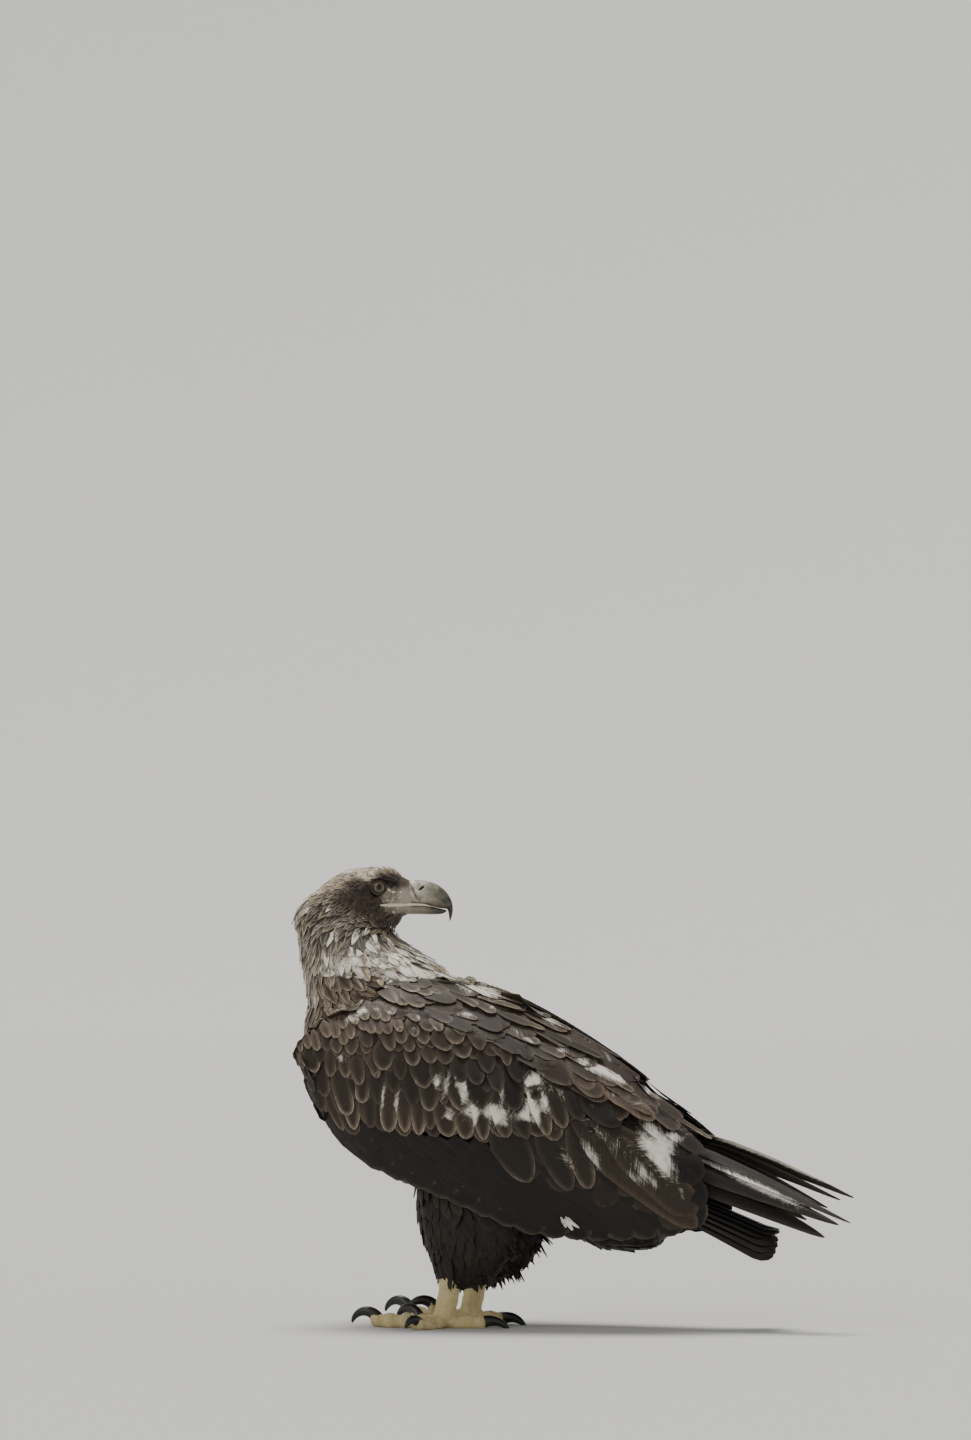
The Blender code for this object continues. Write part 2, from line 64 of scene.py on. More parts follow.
bpy.ops.object.camera_add()
camera = bpy.context.object
camera.name = "camera"
camera.location = place(VIEW_RIGHT * STAND_ASIDE + VIEW_BACK * STAND_OFF + [0, 0, STAND_UP])
gaze = Vector(-VIEW_BACK) * math.cos(GAZE_UP) + Vector((0, 0, math.sin(GAZE_UP)))
camera.rotation_euler = gaze.to_track_quat("-Z", "Y").to_euler()
camera.data.lens = 200.9
camera.data.sensor_width = 36
camera.data.clip_end = 100
bpy.context.scene.camera = camera

# ------------------------------------------------------------------ skin
# The flesh of the whole bird under one unbroken skin. On a mount it is the tanned hide over the form, bare
# and scaly on the feet and hidden elsewhere; it lies inside the outer form by the depth of the plumage.
FLESH = ["head", "neck", "trunk", "thigh_left", "thigh_right", "wing_left", "wing_right"]
FLESH += ["foot_left", "foot_right"]
SKIN_GRAIN = 1.7  # size of the faces that the joined solids are rebuilt with
FORM_GRAIN = 2.2  # the same for the form under the feathers
CLOSING = 0.35  # how far each solid swells to close the gaps between them
LEG_SPREAD = 47.0  # from the middle to each leg
SIDES = (("left", 1), ("right", -1))
BARE_SHIN_TOP = 62.0  # above this the leg is feathered


def copy_of(node):
    """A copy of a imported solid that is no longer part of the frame."""
    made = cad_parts[node].copy()
    made.data = made.data.copy()
    made.parent = None
    for key in list(made.keys()):
        del made[key]
    bpy.context.scene.collection.objects.link(made)
    made.hide_render = made.hide_viewport = False
    made.hide_set(False)
    made.data.materials.clear()
    return made


def only(*objects):
    """Selects these objects and makes the first one active."""
    bpy.ops.object.select_all(action="DESELECT")
    for item in objects:
        item.select_set(True)
    bpy.context.view_layer.objects.active = objects[0]


def modify(made, kind, **settings):
    """Adds a modifier with its settings and applies it."""
    only(made)
    added = made.modifiers.new(kind.lower(), kind)
    for key, value in settings.items():
        setattr(added, key, value)
    bpy.ops.object.modifier_apply(modifier=added.name)


def joined(nodes):
    """Copies of these solids as one mesh, its doubled corners merged."""
    copies = [copy_of(node) for node in nodes]
    only(*copies)
    if len(copies) > 1:
        bpy.ops.object.join()
    made = bpy.context.object
    bpy.ops.object.mode_set(mode="EDIT")
    bpy.ops.mesh.select_all(action="SELECT")
    bpy.ops.mesh.remove_doubles(threshold=1e-6)
    bpy.ops.object.mode_set(mode="OBJECT")
    return made


def read(made, what="co"):
    """The corners of a mesh as they are stored, or the normals there."""
    flat = np.zeros(len(made.data.vertices) * 3, np.float32)
    made.data.vertices.foreach_get(what, flat)
    return flat.reshape(-1, 3).astype(float)


def points_of(made):
    """The corners of a mesh, in millimetres from the ankles."""
    return read(made) / MM + MIDDLE


def move_points(made, points):
    """Moves the corners of a mesh to these points."""
    made.data.vertices.foreach_set("co", place(points).astype(np.float32).ravel())
    made.data.update()


def tree_of(made):
    """A search tree over a mesh in millimetres from the ankles."""
    faces = [tuple(face.vertices) for face in made.data.polygons]
    return BVHTree.FromPolygons([tuple(p) for p in points_of(made)], faces)


def ramp(values, low, high):
    """0 below low, 1 above high, and a smooth step between."""
    t = np.clip((np.asarray(values, float) - low) / (high - low), 0, 1)
    return t * t * (3 - 2 * t)


skin = joined(FLESH)
modify(skin, "DISPLACE", strength=CLOSING * MM, mid_level=0.0)
modify(skin, "REMESH", mode="VOXEL", voxel_size=SKIN_GRAIN * MM, use_smooth_shade=True)
bpy.ops.object.mode_set(mode="EDIT")
bpy.ops.mesh.separate(type="LOOSE")
bpy.ops.object.mode_set(mode="OBJECT")
islands = sorted(bpy.context.selected_objects, key=lambda item: len(item.data.vertices))
skin = islands.pop()
for island in islands:
    bpy.data.objects.remove(island)
skin.name = "skin"
feathered = skin.vertex_groups.new(name="feathered")
above = points_of(skin)[:, 2]
feathered.add([int(i) for i in np.nonzero(above > BARE_SHIN_TOP)[0]], 1.0, "REPLACE")
modify(skin, "SMOOTH", factor=0.5, iterations=6, vertex_group="feathered")

# ---- the head's own frame: reach is along the bill's line, side out of the right cheek
HEAD_YAW = math.radians(162)
HEAD_PIVOT = np.array([0.0, -142.0, 0.0])
HEAD_REACH = -135.0
AHEAD = np.array([-math.sin(HEAD_YAW), -math.cos(HEAD_YAW), 0.0])
ASIDE = np.array([-math.cos(HEAD_YAW), math.sin(HEAD_YAW), 0.0])
UP = np.array([0.0, 0.0, 1.0])
FRONT, LEFT = np.array([0.0, -1, 0]), np.array([1.0, 0, 0])
CHEEKS = (("right", 1), ("left", -1))


def on_head(reach, side, z):
    """A point given in the head's own frame."""
    return HEAD_PIVOT + AHEAD * (reach - HEAD_REACH) + ASIDE * side + UP * z


def head_frame(points):
    """Reach, side and height of points, in the head's own frame."""
    rel = points - HEAD_PIVOT
    return rel @ AHEAD + HEAD_REACH, rel @ ASIDE, points[:, 2]


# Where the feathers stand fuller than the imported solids: place, reach, and push ahead, aside and up.
FULLNESS = [
    ((-88, 0, 505), 15, (0.8, 0, 5.2)), ((-135, 0, 508), 24, (-0.5, 0, 2.2)),
    ((-84, 0, 452), 12, (5.2, 0, -3.2)), ((-93, 0, 441), 10, (2.5, 0, -1)),
    ((-186, 0, 464), 13, (-3, 0, 0)), ((-187, 6, 444), 13, (-3.6, 0.5, 0)),
    ((-187, 7, 424), 13, (-3.2, 0.5, 0)), ((-184, 8, 404), 13, (-2.0, 0.5, 0)),
]
BROW_TRIM = [
    ((-102, 30, 500), 7, (0, -4.6, -0.8)), ((-91, 30, 500), 7, (0, -5.2, -0.8)),
    ((-80, 28, 500), 7, (0, -4.6, -0.8)),
]
# The same at the bend of the wing, in the bird's own x, y and z.
BEND_FULLNESS = [((96, -164, 322), 24, (0, -4.5, 0)), ((98, -160, 282), 27, (0, -9, 0))]


def pushed(points, pushes):
    """Points near some places on either side of the head, moved by a push ahead, aside and up."""
    for (ahead, aside, z), size, (forward, out, lift) in pushes:
        for side in (1, -1):
            gap = ((points - on_head(ahead, aside * side, z)) ** 2).sum(1)
            share = np.exp(-gap / size**2) * (0.5 if aside == 0 else 1.0)
            points = points + np.outer(share, AHEAD * forward + ASIDE * out * side + UP * lift)
    return points


# The outer form that the feathers lie on: the flesh and the shells of the folded flight feathers together.
SHELLS = ["secondaries_left", "secondaries_right"]
form = joined(FLESH[:-2] + SHELLS)
modify(form, "DISPLACE", strength=CLOSING * MM, mid_level=0.0)
modify(form, "REMESH", mode="VOXEL", voxel_size=FORM_GRAIN * MM)
modify(form, "SMOOTH", factor=0.5, iterations=6)
form_points = points_of(form)
for centre, size, push in BEND_FULLNESS:
    for side in (1, -1):
        gap = ((form_points - np.array(centre) * [side, 1, 1]) ** 2).sum(1)
        form_points += np.outer(np.exp(-gap / size**2), push)
form_points = pushed(form_points, FULLNESS + BROW_TRIM)
move_points(form, form_points)
form_tree = tree_of(form)
form_normals = read(form, "normal")
bpy.data.objects.remove(form)


def srgb(code):
    """An sRGB hex colour as linear red, green and blue."""
    parts = np.array([int(code[i : i + 2], 16) / 255 for i in (0, 2, 4)])
    return np.where(parts <= 0.04045, parts / 12.92, ((parts + 0.055) / 1.055) ** 2.4)


def unit(vectors):
    """Vectors of the same directions and of length 1."""
    return vectors / np.maximum(np.linalg.norm(vectors, axis=-1, keepdims=True), 1e-9)


# Colours of an immature bird in its second or third year, and how much white and pale edging its feathers
# carry: place, feather colour, share of white, strength of the pale fringe. Both sides are alike.
HEAD_COLOURS = [
    ((-88, 0, 508), "b0a088", 0.34, 1.3),
    ((-130, 0, 511), "b5a58c", 0.36, 1.3),
    ((-112, 24, 507), "a99980", 0.32, 1.3),
    ((-165, 14, 497), "9c8b72", 0.32, 1.35),
    ((-183, 0, 476), "5e4e3d", 0.30, 1.5),
    ((-150, 26, 493), "6f5f4c", 0.12, 1.1),
    ((-76, 12, 496), "5a4b3d", 0.00, 0.3),
    ((-74, 13, 482), "bdb4a3", 0.10, 0.0),
    ((-86, 20, 478), "a69c8b", 0.05, 0.0),
    ((-82, 16, 497), "2b221c", 0.00, 0.0),
    ((-99, 24, 497), "2b221c", 0.00, 0.0),
    ((-120, 28, 490), "2b221b", 0.00, 0.1),
    ((-104, 28, 473), "342a22", 0.00, 0.1),
    ((-125, 31, 476), "2c231c", 0.00, 0.2),
    ((-142, 32, 482), "2f261e", 0.00, 0.4),
    ((-140, 32, 462), "372c23", 0.03, 0.6),
    ((-160, 31, 470), "31271f", 0.08, 1.25),
    ((-173, 26, 455), "2c231b", 0.14, 1.5),
    ((-152, 33, 442), "32281f", 0.06, 1.1),
    ((-118, 26, 446), "3b3027", 0.05, 0.8),
    ((-95, 14, 451), "3b3027", 0.00, 0.3),
    ((-84, 0, 452), "342a22", 0.00, 0.2),
    ((-100, 0, 440), "30261e", 0.00, 0.2),
]
BODY_COLOURS = [
    ((0, -190, 430), "2a211a", 0.24, 1.5),
    ((40, -175, 425), "271e18", 0.22, 1.5),
    ((58, -125, 425), "271e18", 0.10, 1.2),
    ((45, -80, 425), "43372c", 0.36, 1.1),
    ((0, -75, 430), "43372c", 0.32, 1.1),
    ((0, -188, 385), "463a2f", 0.22, 1.1),
    ((45, -175, 390), "4b3e32", 0.26, 1.1),
    ((70, -120, 395), "8a7b66", 0.80, 0.3),
    ((60, -60, 405), "8a7b66", 0.85, 0.3),
    ((0, -30, 405), "7a6b57", 0.62, 0.8),
    ((72, -60, 388), "7a6b57", 0.60, 0.5),
    ((78, -105, 374), "67584a", 0.12, 1.1),
    ((66, -138, 372), "67584a", 0.14, 1.1),
    ((86, -66, 370), "67584a", 0.10, 1.1),
    ((30, 20, 390), "5e4f3f", 0.46, 0.9),
    ((20, 100, 325), "4a3d31", 0.30, 0.9),
    ((10, 190, 245), "40342a", 0.10, 0.4),
    ((0, -184, 330), "41352a", 0.10, 0.5),
    ((60, -165, 320), "41352a", 0.10, 0.5),
    ((0, -165, 250), "211b15", 0.00, 0.08),
    ((80, -140, 230), "1f1914", 0.00, 0.08),
    ((60, -100, 180), "1c1712", 0.00, 0.05),
    ((0, -50, 150), "1b1611", 0.00, 0.05),
    ((90, 0, 150), "1b1611", 0.00, 0.05),
    ((0, 60, 120), "191410", 0.00, 0.05),
    ((60, 115, 110), "191410", 0.00, 0.05),
    ((0, 160, 88), "16120e", 0.00, 0.04),
    ((0, 240, 100), "15110e", 0.00, 0.04),
    ((50, -40, 140), "1b1611", 0.00, 0.04),
    ((50, 70, 120), "171310", 0.00, 0.03),
    ((50, 0, 60), "19140f", 0.00, 0.03),
]


def head_sides(place):
    """A place on the head with its side, and its twin on the other cheek where it is off the middle."""
    reach, aside, z = place
    return [(side, on_head(reach, aside * side, z)) for side in ((1, -1) if aside > 0 else (1,))]


def body_sides(place):
    """A place on the body with its side, and its twin on the other flank where it is off the middle."""
    x, y, z = place
    return [(side, np.array([x * side, y, z], float)) for side in ((1, -1) if x > 0 else (1,))]


def nearby(points, places, power):
    """How much each of some named places counts at each point: near ones count most."""
    weights = np.empty((len(points), len(places)))
    for k, spot in enumerate(places):
        weights[:, k] = 1 / (((points - spot) ** 2).sum(1) + 16.0) ** power
    return weights / weights.sum(1, keepdims=True)


colour_places, colour_values = [], []
for table, sides_of in ((HEAD_COLOURS, head_sides), (BODY_COLOURS, body_sides)):
    for middle, code, white, fringe in table:
        for _, spot in sides_of(middle):
            colour_places.append(spot)
            colour_values.append([*srgb(code), white, fringe])

# White spots and streaks on the head and neck: place, size, strength. Some of these places come from the
# program that placed most of the single feathers of the wing.
NECK_WHITE = [
    ((37, -155, 466), 6, 0.72), ((51, -144, 434), 9, 1.0), ((44, -108, 437), 7, 0.95),
    ((46, -116, 433), 7, 0.9), ((38, -96, 430), 7, 0.9), ((60, -142, 396), 8, 0.7),
    ((58, -150, 385), 6, 0.55), ((35, -178, 410), 5, 0.5), ((30, -182, 462), 4, 0.7),
    ((10, -66, 424), 10, 0.5), ((30, -80, 420), 9, 0.6), ((62, -110, 403), 16, 0.6),
    ((45, -70, 405), 16, 0.6),
]


def plumage_at(points):
    """Red, green, blue, white and fringe of the plumage at points of the head and body."""
    found = nearby(points, colour_places, 3) @ np.array(colour_values)
    for (x, y, z), size, strength in NECK_WHITE:
        for side in (1, -1):
            gap = ((points - np.array([x * side, y, z])) ** 2).sum(1)
            found[:, 3] = np.maximum(found[:, 3], strength * np.exp(-gap / size**2))
    return found


# ---- the feet: scutes across the tops of the toes and down the front of the shin
TOES = [
    ("inner", -24, 45, 7.4, 4.5, 16.5, 66, 146),
    ("middle", 6, 81, 7.4, 2.4, 15.5, 66, 146),
    ("outer", 68, 48, 6.6, 0.5, 13.0, 58, 132),
    ("hind", -166, 44, 7.4, -1.1, 27.0, 28, 80),
]
TOE_LIFT = {"left": 0.0, "right": 6.0}
SCUTE = 4.6  # length of one scute along a toe
SCUTE_STEP = 0.7  # how far its lower edge stands up
KNUCKLE = 19.0  # from one joint of a toe to the next


def toe_line(side, toe):
    """The start, direction and end of a toe's middle line."""
    _, angle, length, radius, lift, _, _, _ = toe
    turn = math.radians(angle)
    way = np.array([side * math.sin(turn), -math.cos(turn), 0.0])
    start = np.array([side * LEG_SPREAD, -11.0, 10.5])
    lift += TOE_LIFT["left" if side > 0 else "right"] * (toe[0] != "hind")
    end = start + way * length
    end[2] = radius - 0.5 + lift
    return start, way, end


skin_points = points_of(skin)
skin_normals = read(skin, "normal")
skin_tree = tree_of(skin)
on_foot = skin_points[:, 2] < BARE_SHIN_TOP + 8
foot_points, foot_normals = skin_points[on_foot], skin_normals[on_foot]
best = np.full(len(foot_points), np.inf)
phase, facing, knuckle = (np.zeros(len(foot_points)) for _ in range(3))
inward = np.zeros((len(foot_points), 3))
for side in (1, -1):
    for toe in TOES:
        start, way, end = toe_line(side, toe)
        rel = foot_points - start
        along = rel @ way
        off = np.linalg.norm(rel - np.outer(along, way), axis=1) + np.maximum(0, -along) * 2
        nearer = off < best
        best[nearer] = off[nearer]
        phase[nearer] = (along[nearer] / SCUTE) % 1
        facing[nearer] = ramp(foot_normals[nearer, 2], 0.1, 0.7)
        joints = np.cos((along - toe[2]) / KNUCKLE * 2 * math.pi)
        knuckle[nearer] = (0.9 * joints * ramp(along, 12, 20))[nearer]
        rounding = 1 - np.sqrt(np.clip(1 - (np.clip(along - toe[2] + 6, 0, 8) / 8.6) ** 2, 0, 1))
        lift = start + np.outer(along, end - start) / toe[2] - foot_points
        rounding = rounding * (foot_points[:, 2] < 20) * (off < 13)
        inward[nearer] = (lift - np.outer(lift @ way, way))[nearer] * (0.7 * rounding[nearer])[:, None]
    high = (foot_points[:, 2] > 24) & (foot_points[:, 0] * side > 0)
    phase[high] = ((80 - foot_points[high, 2]) / (SCUTE * 1.15)) % 1
    facing[high] = ramp(-foot_normals[high, 1], 0.0, 0.6)
knuckle[foot_points[:, 2] > 22] = 0
scutes = facing * SCUTE_STEP * (phase**1.5 - 0.45)
skin_points[on_foot] += foot_normals * (scutes + knuckle)[:, None] + inward

# ---- how deep the skin lies: by the depth of the plumage on the body, least on the face, and never more than
# a share of the way through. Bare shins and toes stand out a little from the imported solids.
BODY_DEPTH, HEAD_SHALLOWER = 6.5, 4.3
SHIN_RADIUS, THIGH_DEPTH = 8.5, 9
SHIN_FULLER, TOE_FULLER = 4.0, 1.7
THROUGH_WING, THROUGH_BODY = 0.55, 0.22
reach, _, _ = head_frame(skin_points)
height = skin_points[:, 2]
leg_middle = np.c_[np.sign(skin_points[:, 0]) * LEG_SPREAD, -11 + (height - 13) * 0.2]
off_leg = np.linalg.norm(skin_points[:, :2] - leg_middle, axis=1)
on_body, on_shin = ramp(height, 100, 150), ramp(height, 16, 30)
depth = BODY_DEPTH * on_body + (1 - on_body) * np.clip(0.8 * (off_leg - SHIN_RADIUS), 0, THIGH_DEPTH)
fuller = SHIN_FULLER * on_shin * (1 - ramp(height, 60, 80)) + TOE_FULLER * (1 - on_shin)
depth[height < 42] = 0
depth -= fuller * (height < 80)
depth = depth - HEAD_SHALLOWER * ramp(height, 400, 450)
depth[(height > 445) & (reach > -84)] *= 0.35
outer_wing = (skin_normals[:, 0] * np.sign(skin_points[:, 0]) > 0.2) & (height > 100) & (height < 400)
share = np.where(outer_wing, THROUGH_WING, THROUGH_BODY)
for i in np.nonzero(depth > 0.5)[0]:
    under = Vector(-skin_normals[i])
    _, _, _, through = skin_tree.ray_cast(Vector(skin_points[i]) + under * 0.3, under, 40)
    if through is not None:
        depth[i] = min(depth[i], share[i] * through)
skin_points -= skin_normals * depth[:, None]
skin_points = pushed(skin_points, BROW_TRIM)
skin_points[:, 2] = np.maximum(skin_points[:, 2], 0)
move_points(skin, skin_points)
modify(skin, "SMOOTH", factor=0.5, iterations=3, vertex_group="feathered")
modify(skin, "DECIMATE", ratio=0.30, vertex_group="feathered", vertex_group_factor=1.0)


def attribute(made, name, kind, values):
    """Stores one value for each corner point of a mesh, for its material to read."""
    added = made.data.attributes.new(name, kind, "POINT")
    slot = {"FLOAT": "value", "FLOAT_COLOR": "color", "FLOAT_VECTOR": "vector"}[kind]
    added.data.foreach_set(slot, np.asarray(values, np.float32).ravel())


def node(tree, kind, settings=None, inputs=None):
    """Adds a shader node; inputs are values, or the (node, output) pairs that feed them."""
    made = tree.nodes.new("ShaderNode" + kind)
    for key, value in (settings or {}).items():
        setattr(made, key, value)
    for key, value in (inputs or {}).items():
        if isinstance(value, tuple) and len(value) == 2 and hasattr(value[0], "outputs"):
            tree.links.new(value[0].outputs[value[1]], made.inputs[key])
        else:
            made.inputs[key].default_value = value
    return made


def finish_of(name, **constants):
    """A new material, its node tree and its principled shader, whose inputs are named with _ for a space."""
    made = bpy.data.materials.new(name)
    made.use_nodes = True
    shader = made.node_tree.nodes["Principled BSDF"]
    for key, value in constants.items():
        shader.inputs[key.replace("_", " ")].default_value = value
    return made, made.node_tree, shader


def noise(tree, scale, detail, roughness=0.5, vector=None):
    """Soft noise over the piece's own metres, or over another vector."""
    vector = vector or (node(tree, "TexCoord"), "Object")
    inputs = {"Vector": vector, "Scale": scale, "Detail": detail, "Roughness": roughness}
    return node(tree, "TexNoise", {}, inputs)


def mix(tree, factor, first, second, kind="MIX"):
    """Two colours mixed: each is an sRGB code or the output of a node."""
    first, second = (rgba(colour) if isinstance(colour, str) else colour for colour in (first, second))
    settings = {"data_type": "RGBA", "blend_type": kind}
    return node(tree, "Mix", settings, {"Factor": factor, 6: first, 7: second}), 2


def math_of(tree, operation, *values):
    """A calculation on values or on the outputs of nodes."""
    return node(tree, "Math", {"operation": operation}, dict(enumerate(values))), "Value"


def ranged(tree, value, low, high, to_low=0.0, to_high=1.0, kind="LINEAR"):
    """A value from one range brought to another, and held at its ends."""
    limits = {"Value": value, "From Min": low, "From Max": high, "To Min": to_low, "To Max": to_high}
    return node(tree, "MapRange", {"interpolation_type": kind}, limits), "Result"


def surface(tree, shader, colour, height=None, strength=0.0, distance=0.0):
    """Links the colour, and a relief of this height, to the shader."""
    tree.links.new(colour[0].outputs[colour[1]], shader.inputs["Base Color"])
    if height:
        relief = node(tree, "Bump", {}, {"Height": height, "Strength": strength, "Distance": distance})
        tree.links.new(relief.outputs["Normal"], shader.inputs["Normal"])


def bands(tree, factor, stops):
    """Colour bands along a factor: places and sRGB codes."""
    made = node(tree, "ValToRGB", {}, {"Fac": factor})
    for at, _ in stops[2:]:
        made.color_ramp.elements.new(at)
    for element, (at, code) in zip(made.color_ramp.elements, stops):
        element.position = at
        element.color = rgba(code)
    return made, "Color"


def paint(made, material):
    """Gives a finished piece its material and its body."""
    made.data.materials.clear()
    made.data.materials.append(material)
    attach(made, "root")


def rgba(code):
    """An sRGB hex colour as a socket takes it."""
    return (*[float(v) for v in srgb(code)], 1.0)


# Tanned hide stained like the plumage above it, and on the feet dry yellow horny scales, grey in the creases.
skin_finish, tree, shader = finish_of("scaly_skin", Roughness=0.52, IOR=1.45)
marks = node(tree, "Attribute", {"attribute_name": "Plumage"})
bare = node(tree, "Attribute", {"attribute_name": "Bare"})
cells = {"Vector": (node(tree, "TexCoord"), "Object"), "Scale": 760.0}
scales = node(tree, "TexVoronoi", {"feature": "DISTANCE_TO_EDGE"}, cells)
crease = ranged(tree, (scales, "Distance"), 0.0, 0.12)
scaly = mix(tree, crease, "a08c5c", mix(tree, (noise(tree, 110.0, 4.0), "Fac"), "ccb36a", "f2e6bc"))
toed = mix(tree, ranged(tree, (bare, "Color"), 0.5, 1.0), "9c8756", scaly)
hide = mix(tree, ranged(tree, (bare, "Color"), 0.02, 0.3), (marks, "Color"), toed)
surface(tree, shader, hide, math_of(tree, "MULTIPLY", crease, (bare, "Fac")), 0.35, 0.0006)

skin_points = points_of(skin)
skin_marks = plumage_at(skin_points)
skin_marks[:, :3] *= 0.75
skin_marks[:, :3] += (srgb("c9c1b2") - skin_marks[:, :3]) * (0.8 * ramp(skin_marks[:, 3:4], 0.3, 0.8))
attribute(skin, "Plumage", "FLOAT_COLOR", np.c_[skin_marks[:, :3], np.ones(len(skin_points))])
bared = 1 - ramp(skin_points[:, 2], BARE_SHIN_TOP, BARE_SHIN_TOP + 14)
attribute(skin, "Bare", "FLOAT", bared)
skin.data.shade_smooth()
paint(skin, skin_finish)
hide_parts(*FLESH)

# ------------------------------------------------------------------ eyes
# Glass eyes, as a taxidermist sets them: a clear domed cornea over a pale grey-brown iris and a black pupil.
# Each is one ball that looks a little ahead, with the dome pushed out of it and the iris coloured in rings.
EYE_REACH, EYE_SIDE, EYE_Z = -99.4, 17.6, 490.4
EYE_RADIUS = 10.4
IRIS_RADIUS = 6.9
DOME = 0.9  # how far the cornea stands out over the iris
EYE_FORWARD = math.radians(5)  # how far each eye looks ahead of straight out

IRIS_BANDS = [  # from the pupil outwards
    (0.0, "060505"), (0.23, "060505"), (0.27, "3a3126"), (0.34, "6b5e4a"), (0.52, "796b54"), (0.60, "463c2e"),
    (0.66, "1a1512"), (0.72, "0c0a09"), (1.0, "0c0a09"),
]
GLOSS = {"Coat_Weight": 0.45, "Coat_Roughness": 0.02, "Specular_IOR_Level": 0.2}

iris_finish, tree, shader = finish_of("glass_eye", Roughness=0.12, IOR=1.5, **GLOSS)
rings = bands(tree, (node(tree, "Attribute", {"attribute_name": "Ring"}), "Color"), IRIS_BANDS)
surface(tree, shader, mix(tree, 0.45, rings, (noise(tree, 900.0, 3.0), "Color"), "MULTIPLY"))


def eye_frame(side):
    """The middle of an eye on one side of the head, the way it looks, and the way across it."""
    axis = unit(ASIDE * side * math.cos(EYE_FORWARD) + AHEAD * math.sin(EYE_FORWARD))
    return on_head(EYE_REACH, EYE_SIDE * side, EYE_Z), axis, unit(np.cross(UP, axis))


for name, side in (("eye_right", 1), ("eye_left", -1)):
    centre, axis, across = eye_frame(side)
    bpy.ops.mesh.primitive_uv_sphere_add(segments=48, ring_count=36, radius=EYE_RADIUS)
    globe = bpy.context.object
    globe.name = name + "_glass"
    local = read(globe)
    from_axis = np.hypot(local[:, 0], local[:, 1])
    local[:, 2] += DOME * np.maximum(0, 1 - (from_axis / (IRIS_RADIUS + 0.6)) ** 2) * (local[:, 2] > 0)
    move_points(globe, centre + local @ [across, UP, axis])
    attribute(globe, "Ring", "FLOAT", np.where(local[:, 2] > 0, from_axis / EYE_RADIUS, 1.0))
    globe.data.shade_smooth()
    paint(globe, iris_finish)
    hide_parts(name)

# ------------------------------------------------------------------ lids
# A ring of bare dark skin round each eye, a little heavier below, and the bony brow that overhangs it. The
# lid is shaped from a torus, and the brow is a lofted roll.
lid_finish, tree, shader = finish_of("eyelid_skin", Roughness=0.55, IOR=1.42)
wrinkles = (noise(tree, 700.0, 5.0), "Fac")
surface(tree, shader, mix(tree, wrinkles, "1f1a16", "5e5547"), wrinkles, 0.4, 0.0004)
brow_finish, tree, shader = finish_of("brow_skin", Roughness=0.6)
surface(tree, shader, mix(tree, (noise(tree, 500.0, 5.0), "Fac"), "1f1a15", "4a4036"))

LID_RADIUS = 7.9
LID_THICK = 0.85
TORUS_TUBE = 0.25  # the lid starts as a torus of radius 1 with a tube of this radius


def tube(name, rings):
    """A closed body lofted through rings of equally many points, in millimetres, its faces pointing out."""
    rings = np.asarray(rings, float)
    count, size = rings.shape[:2]
    points = np.concatenate([rings.reshape(-1, 3), [rings[0].mean(0)], [rings[-1].mean(0)]])
    faces = []
    for r in range(count - 1):
        for i in range(size):
            a, b = r * size + i, r * size + (i + 1) % size
            faces.append((a, b, b + size, a + size))
    for i in range(size):
        faces.append(((i + 1) % size, i, count * size))
        faces.append(((count - 1) * size + i, (count - 1) * size + (i + 1) % size, count * size + 1))
    mesh = bpy.data.meshes.new(name)
    mesh.from_pydata([tuple(p) for p in place(points)], [], faces)
    made = bpy.data.objects.new(name, mesh)
    bpy.context.scene.collection.objects.link(made)
    only(made)
    bpy.ops.object.mode_set(mode="EDIT")
    bpy.ops.mesh.select_all(action="SELECT")
    bpy.ops.mesh.normals_make_consistent(inside=False)
    bpy.ops.object.mode_set(mode="OBJECT")
    mesh.shade_smooth()
    return made


def oval(centre, across, up, half, above, below, count, power=2.0):
    """A ring of points: half wide along `across`, and above and below along `up`."""
    angle = np.linspace(0, 2 * math.pi, count, endpoint=False)
    c, s = np.cos(angle), np.sin(angle)
    wide = np.sign(c) * np.abs(c) ** (2 / power) * half
    tall = np.sign(s) * np.abs(s) ** (2 / power) * np.where(s > 0, above, below)
    return centre + np.outer(wide, across) + np.outer(tall, up)


